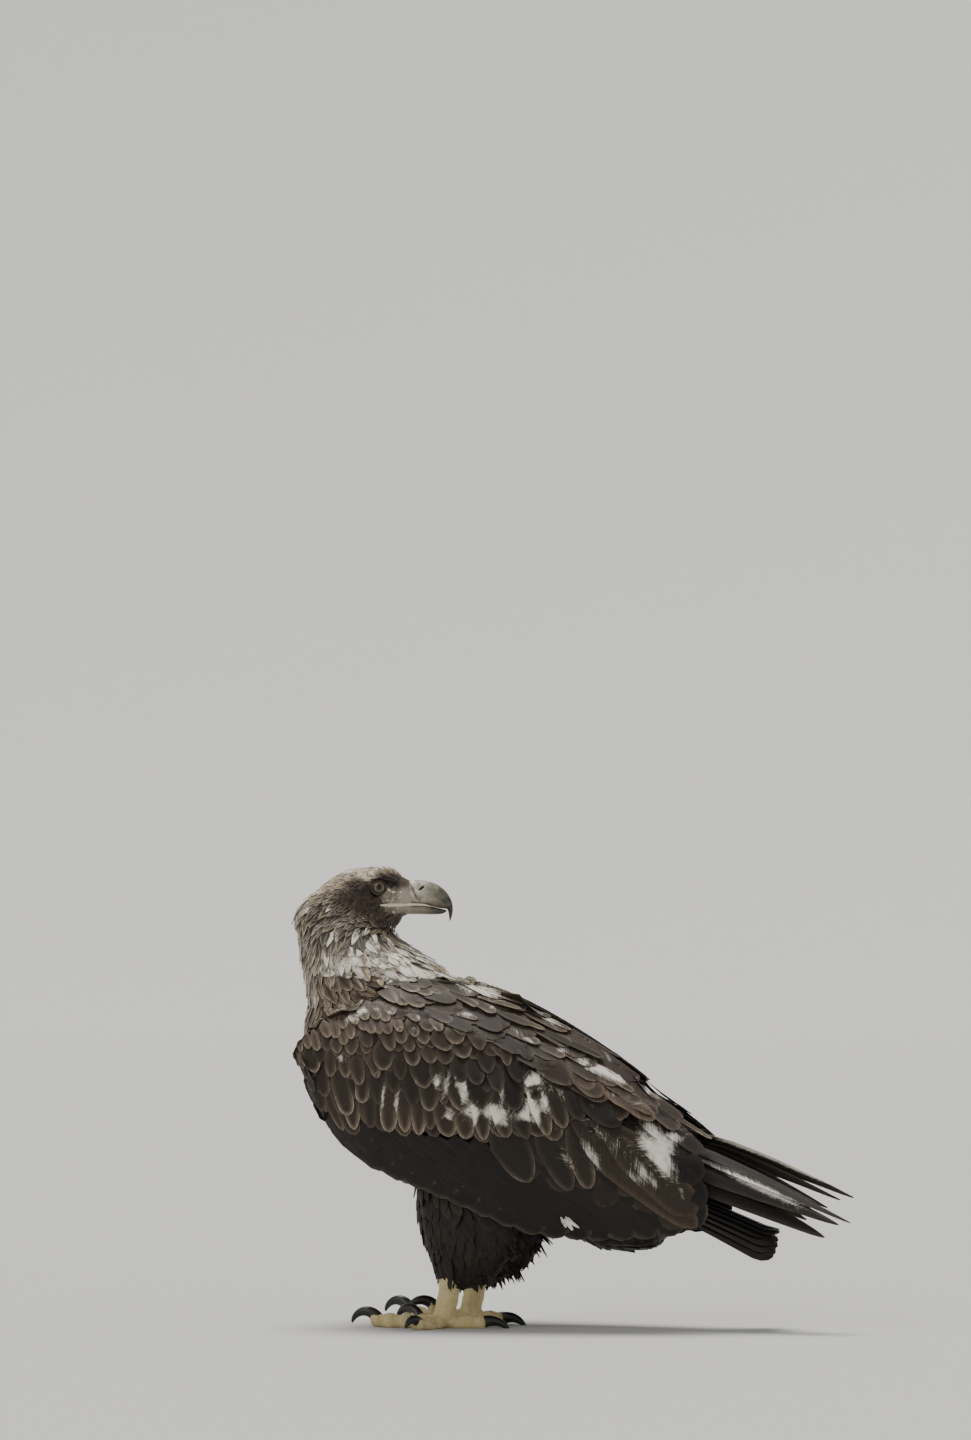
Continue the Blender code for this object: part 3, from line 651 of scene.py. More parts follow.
for name, side in CHEEKS:
    centre, axis, across = eye_frame(side)
    sizes = {"major_radius": 1, "minor_radius": TORUS_TUBE, "major_segments": 56, "minor_segments": 14}
    bpy.ops.mesh.primitive_torus_add(**sizes)
    lid = bpy.context.object
    lid.name = "lids_" + name
    local = read(lid)
    turn = np.arctan2(local[:, 1], local[:, 0])
    out = (np.hypot(local[:, 0], local[:, 1]) - 1) / TORUS_TUBE
    rise = local[:, 2] / TORUS_TUBE
    heavy = 1 + 0.35 * ramp(-np.sin(turn), 0.2, 1.0)
    radius = LID_RADIUS + out * LID_THICK * heavy * 1.35 + 0.35 * heavy
    lift = math.sqrt(EYE_RADIUS**2 - LID_RADIUS**2) + rise * LID_THICK * heavy - out * 0.9 + 0.4
    flat = np.where(np.sin(turn) > 0, 0.90, 1.0)
    points = np.outer(radius * np.cos(turn) * 1.04, across) + np.outer(radius * np.sin(turn) * flat, UP)
    move_points(lid, centre + points + np.outer(lift, axis))
    lid.data.shade_smooth()
    paint(lid, lid_finish)
    rings = []
    for t in np.linspace(0, 1, 26):
        aside = 13.0 + 8.2 * math.sin(math.pi * (0.12 + 0.66 * t))
        at = on_head(-75 - 38 * t, side * aside, 498.6 + 3.0 * math.sin(math.pi * t))
        thick = 0.4 + 1.9 * math.sin(math.pi * (0.04 + 0.92 * t))
        rings.append(oval(at, ASIDE, UP, thick * 1.3, thick, thick, 14))
    paint(tube("brow_" + name, rings), brow_finish)

# ------------------------------------------------------------------ bill
# A deep hooked bill of horn over bone, ground and oiled to a dull shine: dark grey towards the hook, paler
# at the root, where a soft waxy cere holds the slit nostrils and a fleshy rim runs back to the gape.
UPPER_BILL = [
    (0, -70.0, 497.5, -70.0, 471.6, 12.2),
    (1, -57.0, 498.3, -57.0, 471.5, 12.4),
    (2, -46.0, 497.2, -47.0, 470.9, 11.2),
    (3, -37.0, 494.8, -39.5, 468.9, 9.8),
    (4, -29.0, 490.3, -32.5, 467.1, 8.2),
    (5, -21.8, 483.2, -26.4, 466.3, 6.2),
    (6, -17.2, 474.4, -22.6, 465.6, 4.4),
    (7, -15.9, 466.2, -20.9, 461.8, 3.1),
    (8, -16.8, 458.6, -20.3, 457.3, 1.9),
    (9, -18.7, 452.4, -19.6, 452.2, 0.5),
]
LOWER_BILL = [
    (-72, 459.6, 470.9, 10.2),
    (-57, 459.8, 470.8, 10.4),
    (-45, 459.6, 470.0, 8.8),
    (-35, 459.6, 467.4, 6.6),
    (-27, 460.6, 465.6, 4.2),
    (-23.2, 462.6, 464.6, 1.6),
]
CERE_END = 2.08
NOSTRIL = (-51.0, 489.2)  # reach and height of the middle of the slit
NOSTRIL_LONG, NOSTRIL_WIDE, NOSTRIL_SLOPE = 4.2, 1.5, math.radians(36)


def blend(rows, at):
    """The columns of a short table at one value of its first column, on a smooth curve through the rows."""
    keys = [row[0] for row in rows]
    at = min(max(at, keys[0]), keys[-1])
    i = next(k for k in range(len(keys) - 1) if at <= keys[k + 1])
    span = keys[i + 1] - keys[i]
    t = (at - keys[i]) / span
    found = []
    for column in range(1, len(rows[0])):

        def slope(k):
            low, high = max(k - 1, 0), min(k + 1, len(keys) - 1)
            return (rows[high][column] - rows[low][column]) / (keys[high] - keys[low]) * span

        a, b = rows[i][column], rows[i + 1][column]
        found.append(
            a * (2 * t**3 - 3 * t**2 + 1) + slope(i) * (t**3 - 2 * t**2 + t)
            + b * (3 * t**2 - 2 * t**3) + slope(i + 1) * (t**3 - t**2)
        )
    return found


def bill_rings(first, last, count, grow=0.0, around=44):
    """Rings across the upper bill, between two stations of its table."""
    rings = []
    for at in np.linspace(first, last, count):
        top_reach, top_z, low_reach, low_z, half = blend(UPPER_BILL, at)
        top, low = on_head(top_reach, 0, top_z), on_head(low_reach, 0, low_z)
        up = unit(top - low)
        tall = np.linalg.norm(top - low) / 2
        above, below = tall * 1.25 + grow, tall * 0.75 + grow
        rings.append(oval(low + up * tall * 0.75, ASIDE, up, half + grow, above, below, around))
    return rings


def lower_rings():
    """Rings across the lower bill."""
    rings = []
    for at in np.linspace(LOWER_BILL[0][0], LOWER_BILL[-1][0], 34):
        low, high, half = blend(LOWER_BILL, at)
        centre = on_head(at, 0, low + (high - low) * 0.62)
        rings.append(oval(centre, ASIDE, UP, half, (high - low) * 0.38, (high - low) * 0.62, 40, 2.4))
    return rings


def horn(name, root, middle, tip, middle_at, tip_at, grain):
    """Keratin horn: growth ridges across, fine flaws along, paler at the root than at the point."""
    made, tree, shader = finish_of(name, IOR=1.54)
    along = node(tree, "Attribute", {"attribute_name": "Along"})
    cloud = noise(tree, 140.0, 5.0, 0.6)
    fine = noise(tree, grain, 4.0)
    ridges = math_of(tree, "MULTIPLY_ADD", (cloud, "Fac"), 0.9, (along, "Fac"))
    stops = [(0.0, root), (middle_at, middle), (tip_at, tip)]
    tones = bands(tree, math_of(tree, "SUBTRACT", ridges, 0.44), stops)
    surface(tree, shader, mix(tree, 0.3, tones, (fine, "Color"), "MULTIPLY"), (fine, "Fac"), 0.25, 0.0003)
    rough = ranged(tree, (fine, "Fac"), 0.0, 1.0, 0.26, 0.48)
    tree.links.new(rough[0].outputs["Result"], shader.inputs["Roughness"])
    return made


def along_rings(made, count, size):
    """How far along its rings each point of a lofted body lies, from 0 to 1."""
    values = np.repeat(np.linspace(0, 1, count), size)
    attribute(made, "Along", "FLOAT", np.concatenate([values, [0.0, 1.0]]))


bill_finish = horn("bill_horn", "aba391", "787163", "262320", 0.26, 0.58, 420.0)
upper = tube("bill_upper_horn", bill_rings(CERE_END - 0.1, 9, 64))
along_rings(upper, 64, 44)
paint(upper, bill_finish)
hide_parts("bill_upper")
lower_finish = horn("lower_bill_horn", "b5ac96", "7b7464", "3a352f", 0.5, 0.85, 420.0)
lower = tube("bill_lower_horn", lower_rings())
along_rings(lower, 34, 40)
paint(lower, lower_finish)
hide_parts("bill_lower")

cere_finish, tree, shader = finish_of("waxy_cere", Roughness=0.42, IOR=1.44)
blotch = (noise(tree, 160.0, 4.0), "Fac")
# The nostril slit is painted near black, 0d0b09: painted shade of a deep hole.
nostril_shade = node(tree, "Attribute", {"attribute_name": "Nostril"})
mottle = ranged(tree, blotch, 0.35, 0.65)
zones = node(tree, "Attribute", {"attribute_name": "Zones"})
zone = node(tree, "SeparateXYZ", {}, {"Vector": (zones, "Vector")})
wax = mix(tree, (zone, "X"), mix(tree, mottle, "8a8374", "d6cfbd"), mix(tree, mottle, "9d9484", "cbc3b3"))
# Zone Y paints the cere dark, 2c251e, in a band along the feathers' edge: painted shadow of that edge.
edged = mix(tree, (zone, "Y"), mix(tree, (zone, "Z"), wax, "aaa290"), "2c251e")
surface(tree, shader, mix(tree, (nostril_shade, "Fac"), edged, "0d0b09"), blotch, 0.3, 0.0005)
rings = bill_rings(0.0, CERE_END - 0.02, 110, 0.25, 120)
rings += bill_rings(CERE_END + 0.02, CERE_END + 0.05, 2, -0.5, 120)
cere = tube("cere_skin", rings)
cere_points = points_of(cere)
reach, aside, z = head_frame(cere_points)
du, dz = reach - NOSTRIL[0], z - NOSTRIL[1]
long = (du * math.cos(NOSTRIL_SLOPE) + dz * math.sin(NOSTRIL_SLOPE)) / NOSTRIL_LONG
wide = (dz * math.cos(NOSTRIL_SLOPE) - du * math.sin(NOSTRIL_SLOPE)) / NOSTRIL_WIDE
slit = 1 - ramp(np.hypot(long, wide), 0.55, 1.15)
rim = np.exp(-(((np.hypot(long, wide) - 1.6) / 0.35) ** 2)) * 0.35
cere_points += np.outer(np.sign(aside) * (rim - slit * 3.2), ASIDE)
move_points(cere, cere_points)
# The slit is sunk 3.2 mm and painted near black as the shade of its depth.
attribute(cere, "Nostril", "FLOAT", ramp(slit, 0.35, 0.8))
# The feathers reach forward to this slanting line, and the dark band along it is painted shadow cast by their
# edge.
border = reach - (-66 + np.clip((499 - z) * 0.45, 0, 10))
line = np.exp(-((border / 1.1) ** 2)) * ramp(z, 475, 480) * 0.85
attribute(cere, "Zones", "FLOAT_VECTOR", np.c_[1 - ramp(border, -1.0, 0.5), line, ramp(reach, -55, -46)])
paint(cere, cere_finish)
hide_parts("cere")

# The rim of the gape: a fleshy pale roll from below the eye to where it meets the horn.
# Reach, side, height and thickness, in the head's own frame.
GAPE = [
    (-98.5, 25.6, 472.0, 0.5), (-94, 25.0, 472.0, 1.3), (-86, 21.8, 472.0, 1.8), (-77, 17.2, 472.2, 1.9),
    (-68, 12.8, 472.4, 1.8), (-58, 10.4, 472.4, 1.4), (-47, 8.4, 471.6, 1.0), (-40, 6.8, 470.0, 0.4),
]
gape_finish, tree, shader = finish_of("gape_skin", Roughness=0.4, IOR=1.44)
surface(tree, shader, mix(tree, (noise(tree, 240.0, 4.0), "Fac"), "cfc39c", "f3ecd4"))
for name, side in CHEEKS:
    rings = []
    for at in np.linspace(GAPE[0][0], GAPE[-1][0], 40):
        aside, z, thick = blend(GAPE, at)
        centre = on_head(at, side * aside, z - 1.4)
        found, normal, _, gap = skin_tree.find_nearest(Vector(centre))
        if at < -72 and gap < 8:
            centre = np.array(found) + np.array(normal) * 0.3
        rings.append(oval(centre, ASIDE, UP, thick * 0.7, thick, thick, 16))
    paint(tube("gape_" + name, rings), gape_finish)

# ------------------------------------------------------------------ claws
# Eight black talons of solid horn, polished by wear, each curving out of its toe to a point at the floor.
# Each is lofted along an arc, deeper than it is wide, and flat where it rests on the floor.
claw_finish = horn("claw_horn", "3b342c", "1c1917", "0e0d0c", 0.3, 0.9, 600.0)
for name, side in SIDES:
    for toe in TOES:
        _, way, end = toe_line(side, toe)
        across = np.cross(way, UP)
        curve, first_slope, sweep = toe[5], math.radians(toe[6]), math.radians(toe[7])
        root = end - way * 5.0 - UP
        rings = []
        for t in np.linspace(0, 1, 30):
            slope = first_slope - sweep * t
            at = root + way * curve * (math.sin(first_slope) - math.sin(slope))
            at = at + UP * curve * (math.cos(slope) - math.cos(first_slope))
            up = way * -math.sin(slope) + UP * math.cos(slope)
            radius = toe[3] * (1 - t) ** 0.58 + 0.4
            ring = oval(at, across, up, radius * 0.82, radius, radius * 0.92, 20, 2.2)
            ring[:, 2] = np.maximum(ring[:, 2], 0)
            rings.append(ring)
        claw = tube(f"claw_{toe[0]}_{name}_horn", rings)
        along_rings(claw, 30, 20)
        paint(claw, claw_finish)
        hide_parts(f"claw_{toe[0]}_{name}")

# ------------------------------------------------------------------ small feathers of the head and body
# Contour feathers of keratin: a stiff shaft with a flat vane each side. They grow in tracts, each lying back
# over the roots of the next, tiny on the face, long and pointed on the nape, broad on breast and back.
PATCH = 0.003  # size of one feather on the baking map
CAST_OVER, CAST_UNDER = 9.0, 5.0  # how far over and under a laid feather the form is looked for


def pattern(across, stations):
    """The flat closed strip that feathers are cut to: side -1..1, along 0..1, layer 0 top, 1 below."""
    rows = len(stations) - 1
    bpy.ops.mesh.primitive_grid_add(x_subdivisions=across, y_subdivisions=rows, size=2)
    strip = bpy.context.object
    modify(strip, "SOLIDIFY", thickness=1.0, offset=-1.0, use_rim=True)
    flat = read(strip)
    quads = np.array([tuple(face.vertices) for face in strip.data.polygons])
    bpy.data.objects.remove(strip)
    row = np.rint((flat[:, 1] + 1) / 2 * rows).astype(int)
    return flat[:, 0], np.array(stations)[row], -flat[:, 2], quads


SMALL = pattern(2, (0, 0.4, 0.75, 0.93, 1))
BROAD = pattern(2, (0, 0.3, 0.6, 0.82, 0.94, 1))
COVERT = pattern(4, (0, 0.35, 0.65, 0.85, 0.95, 1))


def lay(starts, normals, ways, lengths, rows, backwards=False):
    """Middle points, normals and directions of feathers that follow the outer form from root to tip."""
    count = len(starts)
    middles, ups, aheads = (np.zeros((count, rows + 1, 3)) for _ in range(3))
    for k in range(count):
        point, up, way = Vector(starts[k]), Vector(normals[k]).normalized(), Vector(ways[k])
        if backwards:
            way = -way
        way = (way - up * way.dot(up)).normalized()
        step = lengths[k] / rows
        for row in range(rows + 1):
            middles[k, row], ups[k, row], aheads[k, row] = point, up, way
            point = point + way * step
            hit = None
            if backwards:
                hit, found, _, _ = form_tree.ray_cast(point + up * CAST_OVER, -up, CAST_OVER + CAST_UNDER)
            if hit is None:
                hit, found, _, _ = form_tree.find_nearest(point)
            point = hit
            up = (up * 0.35 + found * 0.65).normalized()
            way = (way - up * way.dot(up)).normalized()
    if backwards:
        middles, ups, aheads = middles[:, ::-1], ups[:, ::-1], -aheads[:, ::-1]
    return middles, ups, aheads


def outline(t, slim, pointed):
    """Half width of a feather along its length, as a share of its widest: rounded, or drawn to a point."""
    base = 0.35 + 0.65 * ramp(t, 0.0, 0.4)
    start = np.clip(1 - 1.15 / slim, 0.3, 0.92)
    rounded = np.sqrt(np.clip(1 - (np.clip(t - start, 0, 1) / (1 - start)) ** 2, 0, 1))
    drawn = np.clip(1 - np.clip((t - 0.35) / 0.65, 0, 1) ** 1.6, 0, 1)
    return np.maximum(base * (rounded * (1 - pointed) + drawn * pointed), 0.05)


def feathers(name, cut, laid, lengths, halves, roots, tips, colours, whites, fringes, maps, roll=0.0,
             pointed=0.0, camber=0.16, thick=0.35, white_and_sheen_at=None, patch=PATCH, bend=0.0, sides=0.4,
             tipward=0.3):
    """One joined mesh of feathers cut to a pattern.

    laid is what lay() gives. roots and tips are how deep each feather's ends lie inside the outer form, and
    maps is the place of its root on the baking map. sides and tipward say how much of the pale fringe runs
    along the sides, and from where on it grows towards the tip.
    """
    side, along, layer, quads = cut
    middles, ups, aheads = laid
    count, rows = len(middles), middles.shape[1] - 1
    at = along * rows
    low = np.minimum(at.astype(int), rows - 1)
    part = (at - low)[None, :, None]
    centre = middles[:, low] * (1 - part) + middles[:, low + 1] * part
    up = unit(ups[:, low] * (1 - part) + ups[:, low + 1] * part)
    ahead = unit(aheads[:, low] * (1 - part) + aheads[:, low + 1] * part)
    beside = unit(np.cross(ahead, up))

    def column(values):
        """One value for all feathers, or one for each, as a column."""
        return np.broadcast_to(np.asarray(values, float).reshape(-1, 1), (count, 1))

    lengths, halves, roll, pointed = column(lengths), column(halves), column(roll), column(pointed)
    width = outline(along[None, :], lengths / halves, pointed) * halves
    across = side[None, :] * width
    height = -(column(roots) * (1 - along) + column(tips) * along) + roll * across
    height = height - column(camber) * halves * side[None, :] ** 2
    height = height - layer[None, :] * thick * (1 - 0.6 * np.abs(side[None, :]))
    bent = across + column(bend) * halves * along[None, :] ** 2
    points = centre + beside * bent[..., None] + up * height[..., None]
    edge = np.minimum(width * (1 - np.abs(side[None, :])), lengths * (1 - along[None, :]))
    edge = np.minimum(edge, width) * np.maximum(1, 4.5 / halves)
    seeds = rng.random(count)

    size = len(side)
    total = count * size
    faces = (quads[None] + (np.arange(count) * size)[:, None, None]).reshape(-1, 4)
    mesh = bpy.data.meshes.new(name)
    mesh.vertices.add(total)
    mesh.vertices.foreach_set("co", place(points.reshape(-1, 3)).astype(np.float32).ravel())
    mesh.loops.add(faces.size)
    mesh.loops.foreach_set("vertex_index", faces.ravel().astype(np.int32))
    mesh.polygons.add(len(faces))
    mesh.polygons.foreach_set("loop_start", (np.arange(len(faces)) * 4).astype(np.int32))
    mesh.update(calc_edges=True)
    mesh.validate()
    mesh.shade_smooth()
    mesh.set_sharp_from_angle(angle=math.radians(55))
    made = bpy.data.objects.new(name, mesh)
    bpy.context.scene.collection.objects.link(made)

    corner = np.zeros(len(mesh.loops), np.int32)
    mesh.loops.foreach_get("vertex_index", corner)
    vane = np.stack([across, np.broadcast_to(along * lengths, across.shape)], -1).reshape(-1, 2)
    spread = np.stack([(side + 1) / 2, along], -1)[None] * patch + np.asarray(maps)[:, None, :]
    for title, values in (("OFBake", spread.reshape(-1, 2)), ("Vane", vane)):
        layer_of = mesh.uv_layers.new(name=title)
        layer_of.data.foreach_set("uv", values[corner].astype(np.float32).ravel())
    white = np.broadcast_to(column(whites), (count, size))
    # White mottling by place, and on the primaries painted sheen along their top edges.
    if white_and_sheen_at is not None:
        mottle_and_sheen = white_and_sheen_at(points.reshape(-1, 3)).reshape(count, size)
        mottle_and_sheen = mottle_and_sheen * (1 - 0.8 * ramp(along, 0.8, 0.95)) * (0.75 + 0.35 * np.abs(side))
        white = np.clip(white + mottle_and_sheen, 0, 1)
    tone = np.broadcast_to(np.asarray(colours)[:, None, :], (count, size, 3))
    attribute(made, "Plumage", "FLOAT_COLOR", np.concatenate([tone, white[..., None]], -1))
    fringe = column(fringes) * (sides + (1.15 - sides) * ramp(along, tipward, 0.97))[None, :]
    seed = np.broadcast_to(seeds[:, None], (count, size))
    attribute(made, "Barbs", "FLOAT_VECTOR", np.stack([edge, fringe, seed], -1))
    return made


# Vane of keratin barbs, dark brown with worn pale edges; the white of its mottling, and of the painted sheen
# along the primaries' top edges, runs out along the barbs. It gives a soft dull sheen. The barbs of the real
# vane, half a millimetre apart, are drawn two or three times coarser.
FRINGE_WIDTH = 1.5
SMOOTH = "SMOOTHSTEP"
vane_finish, tree, shader = finish_of("feather_vane", Roughness=0.55, IOR=1.55, Specular_IOR_Level=0.22,
                                      Sheen_Weight=0.05, Sheen_Roughness=0.5)
marks = node(tree, "Attribute", {"attribute_name": "Plumage"})
barbs = node(tree, "Attribute", {"attribute_name": "Barbs"})
parts = node(tree, "SeparateXYZ", {}, {"Vector": (barbs, "Vector")})
flat = node(tree, "SeparateXYZ", {}, {"Vector": (node(tree, "UVMap", {"uv_map": "Vane"}), "UV")})
from_edge, fringe, seed = (parts, "X"), (parts, "Y"), (parts, "Z")
across, along = (flat, "X"), (flat, "Y")
out = math_of(tree, "ABSOLUTE", across)
own = math_of(tree, "MULTIPLY", seed, 731.0)  # no two feathers share their noise
slant = math_of(tree, "MULTIPLY_ADD", out, -0.85, along)
half = math_of(tree, "MULTIPLY_ADD", across, 0.10, own)
down = math_of(tree, "MULTIPLY_ADD", along, 0.22, own)
lines = node(tree, "CombineXYZ", {}, {"X": slant, "Y": half, "Z": own})
streaks = node(tree, "CombineXYZ", {}, {"X": across, "Y": down, "Z": own})
fine = (noise(tree, 0.5, 3.0, 0.7, (lines, "Vector")), "Fac")
broad = (noise(tree, 0.42, 4.0, 0.65, (streaks, "Vector")), "Fac")
tinge = ranged(tree, fine, 0.3, 0.7, 0.78, 1.22)
heart = ranged(tree, from_edge, 0.0, 8.0, 1.25, 0.62, SMOOTH)
toned = math_of(tree, "MULTIPLY", tinge, heart)
ground = node(tree, "VectorMath", {"operation": "SCALE"}, {"Vector": (marks, "Color"), "Scale": toned})
worn = ranged(tree, fine, 0.25, 0.75, 0.3 * FRINGE_WIDTH, 1.9 * FRINGE_WIDTH)
rim = ranged(tree, from_edge, 0.0, worn, 0.85, 0.0, SMOOTH)
halo = ranged(tree, from_edge, 0.4, 6.0, 0.3, 0.0, SMOOTH)
palest = math_of(tree, "MULTIPLY", fringe, ranged(tree, broad, 0.35, 0.62, 0.35, 1.15))
rimmed = math_of(tree, "MULTIPLY", math_of(tree, "MAXIMUM", rim, halo), palest)
rimmed[0].use_clamp = True
edged = mix(tree, rimmed, (ground, "Vector"), "cabda6")
patchy = math_of(tree, "MULTIPLY_ADD", fine, 1.1, (marks, "Alpha"))
patched = math_of(tree, "MULTIPLY_ADD", broad, 0.7, patchy)
# Where the vane turns white: its white mottling, and on the primaries painted sheen.
whiteness_and_sheen = ranged(tree, patched, 1.14, 1.84, 0.0, 1.0, SMOOTH)
whitened = mix(tree, whiteness_and_sheen, edged, "e6e0d4")
shaft = ranged(tree, out, 0.25, 0.7, 0.45, 0.0, SMOOTH)
quill = math_of(tree, "MULTIPLY", shaft, math_of(tree, "MULTIPLY_ADD", whiteness_and_sheen, -0.85, 1.0))
surface(tree, shader, mix(tree, quill, whitened, "2a2019"), fine, 0.35, 0.0005)

# How the coat lies: place, direction, length, half width, spacing, how pointed, depth of the roots.
# On the head the directions are along its own reach, side and height.
HEAD_LIE = [
    ((-74, 0, 502), (-1, 0, 0.2), 5, 1.7, 2.3, 0.4, 1.6),
    ((-76, 13, 492), (-1, 0.2, 0.1), 4, 1.3, 2.0, 0.5, 1.0),
    ((-78, 15, 480), (-1, 0.2, -0.15), 4, 1.1, 2.2, 0.7, 0.8),
    ((-95, 0, 510), (-1, 0, 0.1), 8, 2.4, 2.9, 0.4, 2.0),
    ((-130, 0, 511), (-1, 0, 0), 11, 2.9, 3.4, 0.5, 2.3),
    ((-165, 0, 497), (-1, 0, -0.5), 16, 3.4, 4.5, 0.8, 2.6),
    ((-186, 0, 472), (-0.5, 0, -1), 24, 4.2, 5.8, 0.9, 2.8),
    ((-108, 24, 505), (-1, 0.05, 0), 7, 2.0, 2.6, 0.4, 1.8),
    ((-122, 29, 492), (-1, 0.1, -0.1), 8, 2.2, 2.7, 0.5, 1.8),
    ((-96, 27, 472), (-1, 0.1, -0.35), 6, 1.8, 2.4, 0.5, 1.4),
    ((-110, 30, 470), (-1, 0.05, -0.45), 8, 2.2, 2.7, 0.5, 1.8),
    ((-135, 32, 470), (-1, 0, -0.55), 12, 2.8, 3.3, 0.7, 2.2),
    ((-160, 30, 468), (-0.8, 0, -0.8), 20, 3.9, 5.2, 0.9, 2.6),
    ((-140, 32, 442), (-0.5, 0, -1), 21, 4.2, 5.6, 0.8, 2.8),
    ((-84, 0, 453), (-1, 0, -0.25), 6, 1.9, 2.5, 0.5, 1.6),
    ((-100, 18, 447), (-1, 0, -0.5), 9, 2.4, 3.0, 0.6, 2.0),
    ((-112, 10, 436), (-0.7, 0, -1), 13, 3.0, 3.6, 0.7, 2.4),
]
BODY_LIE = [
    ((0, -191, 435), (0, -0.1, -1), 27, 4.6, 6.6, 0.9, 3.0),
    ((50, -150, 432), (0.1, 0.1, -1), 26, 4.6, 6.6, 0.9, 3.0),
    ((40, -95, 432), (0.15, 0.5, -0.9), 26, 4.6, 6.4, 0.9, 3.0),
    ((0, -80, 436), (0, 0.6, -0.8), 26, 4.6, 6.4, 0.9, 3.0),
    ((0, -190, 395), (0, -0.05, -1), 30, 5.2, 7.4, 0.85, 3.6),
    ((62, -160, 392), (0.2, 0.45, -0.9), 32, 6.0, 8.0, 0.7, 3.6),
    ((70, -110, 392), (0.3, 0.95, -0.4), 38, 8.4, 10.5, 0.5, 3.6),
    ((50, -60, 408), (0.2, 0.95, -0.35), 38, 7.6, 9.6, 0.6, 3.6),
    ((0, -40, 412), (0, 0.85, -0.5), 34, 6.0, 8.4, 0.8, 3.6),
    ((72, -50, 385), (0.3, 0.85, -0.4), 38, 8.4, 10.5, 0.4, 3.8),
    ((0, 20, 382), (0, 1, -0.25), 36, 8.0, 9.5, 0.25, 4.0),
    ((0, 110, 318), (0, 1, -0.5), 42, 9.5, 12, 0.15, 4.0),
    ((0, 200, 232), (0, 1, -0.55), 46, 10.0, 13, 0.15, 4.0),
    ((0, -184, 330), (0, 0.05, -1), 30, 6.2, 7.6, 0.5, 4.4),
    ((70, -165, 320), (0.15, 0.3, -1), 30, 6.2, 7.6, 0.5, 4.4),
    ((0, -168, 250), (0, 0.4, -1), 32, 7.0, 8.6, 0.4, 4.8),
    ((85, -140, 225), (0, 0.6, -0.85), 32, 7.0, 8.6, 0.4, 4.8),
    ((0, -130, 192), (0, 0.85, -0.6), 32, 7.6, 9.2, 0.4, 4.8),
    ((70, -90, 175), (0, 0.9, -0.5), 32, 7.6, 9.2, 0.4, 4.8),
    ((0, -40, 148), (0, 1, -0.25), 34, 8.0, 10, 0.4, 5.0),
    ((85, 20, 150), (0, 0.95, -0.4), 34, 8.0, 10, 0.4, 5.0),
    ((0, 70, 118), (0, 1, -0.3), 34, 8.0, 10, 0.4, 5.0),
    ((60, 120, 108), (0, 1, -0.2), 34, 8.0, 10, 0.4, 5.0),
    ((0, 160, 86), (0, 1, 0.05), 38, 8.5, 11, 0.35, 5.0),
    ((0, 235, 98), (0, 1, 0.2), 40, 8.5, 11, 0.35, 5.0),
    ((40, 215, 150), (0, 1, -0.1), 40, 8.5, 11, 0.35, 5.0),
    ((48, -43, 150), (0, 0.0, -1), 28, 6.2, 7.6, 0.55, 4.8),
    ((85, 15, 140), (0, 0.08, -1), 28, 6.2, 7.6, 0.55, 4.8),
    ((48, 78, 140), (0, 0.3, -1), 30, 6.4, 7.8, 0.55, 4.8),
    ((48, -28, 85), (0, 0.02, -1), 26, 5.2, 6.2, 0.65, 4.0),
    ((75, 15, 85), (0, 0.1, -1), 26, 5.2, 6.2, 0.65, 4.0),
    ((48, 64, 88), (0, 0.35, -1), 30, 5.2, 6.2, 0.65, 3.6),
    ((48, -15, 55), (0, 0, -1), 18, 3.4, 4.0, 0.75, 2.0),
    ((60, 5, 55), (0, 0.1, -1), 18, 3.4, 4.0, 0.75, 2.0),
    ((48, 26, 52), (0, 0.4, -1), 20, 3.6, 4.0, 0.75, 2.0),
]


lie_places, lie_values = [], []
for middle, (ahead, out, lift), *sizes in HEAD_LIE:
    for side, spot in head_sides(middle):
        lie_places.append(spot)
        lie_values.append([*unit(AHEAD * ahead + ASIDE * out * side + UP * lift), *sizes])
for middle, (out, back, lift), *sizes in BODY_LIE:
    for side, spot in body_sides(middle):
        lie_places.append(spot)
        lie_values.append([*unit(np.array([out * side, back, lift], float)), *sizes])


def scattered(points, spacing):
    """Picks points no closer together than the spacing at each, in a random order."""
    cell = float(spacing.max())
    taken, grid = [], {}
    steps = [(a, b, c) for a in (-1, 0, 1) for b in (-1, 0, 1) for c in (-1, 0, 1)]
    for i in rng.permutation(len(points)):
        x, y, z = points[i]
        key = (int(x // cell), int(y // cell), int(z // cell))
        gap = spacing[i] ** 2
        near = (spot for a, b, c in steps for spot in grid.get((key[0] + a, key[1] + b, key[2] + c), ()))
        if all((px - x) ** 2 + (py - y) ** 2 + (pz - z) ** 2 >= gap for px, py, pz in near):
            grid.setdefault(key, []).append((x, y, z))
            taken.append(i)
    return np.array(sorted(taken))


def near_to(nodes, points, limit):
    """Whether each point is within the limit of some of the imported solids."""
    solid = joined(nodes)
    solid_tree = tree_of(solid)
    bpy.data.objects.remove(solid)
    return np.array([solid_tree.find_nearest(Vector(point), limit)[0] is not None for point in points])


def turned_about(points, origin, zero, quarter):
    """Angle of points round an axis, as a share of a whole turn."""
    rel = points - origin
    return np.arctan2(rel @ quarter, rel @ zero) / (2 * math.pi) + 0.5


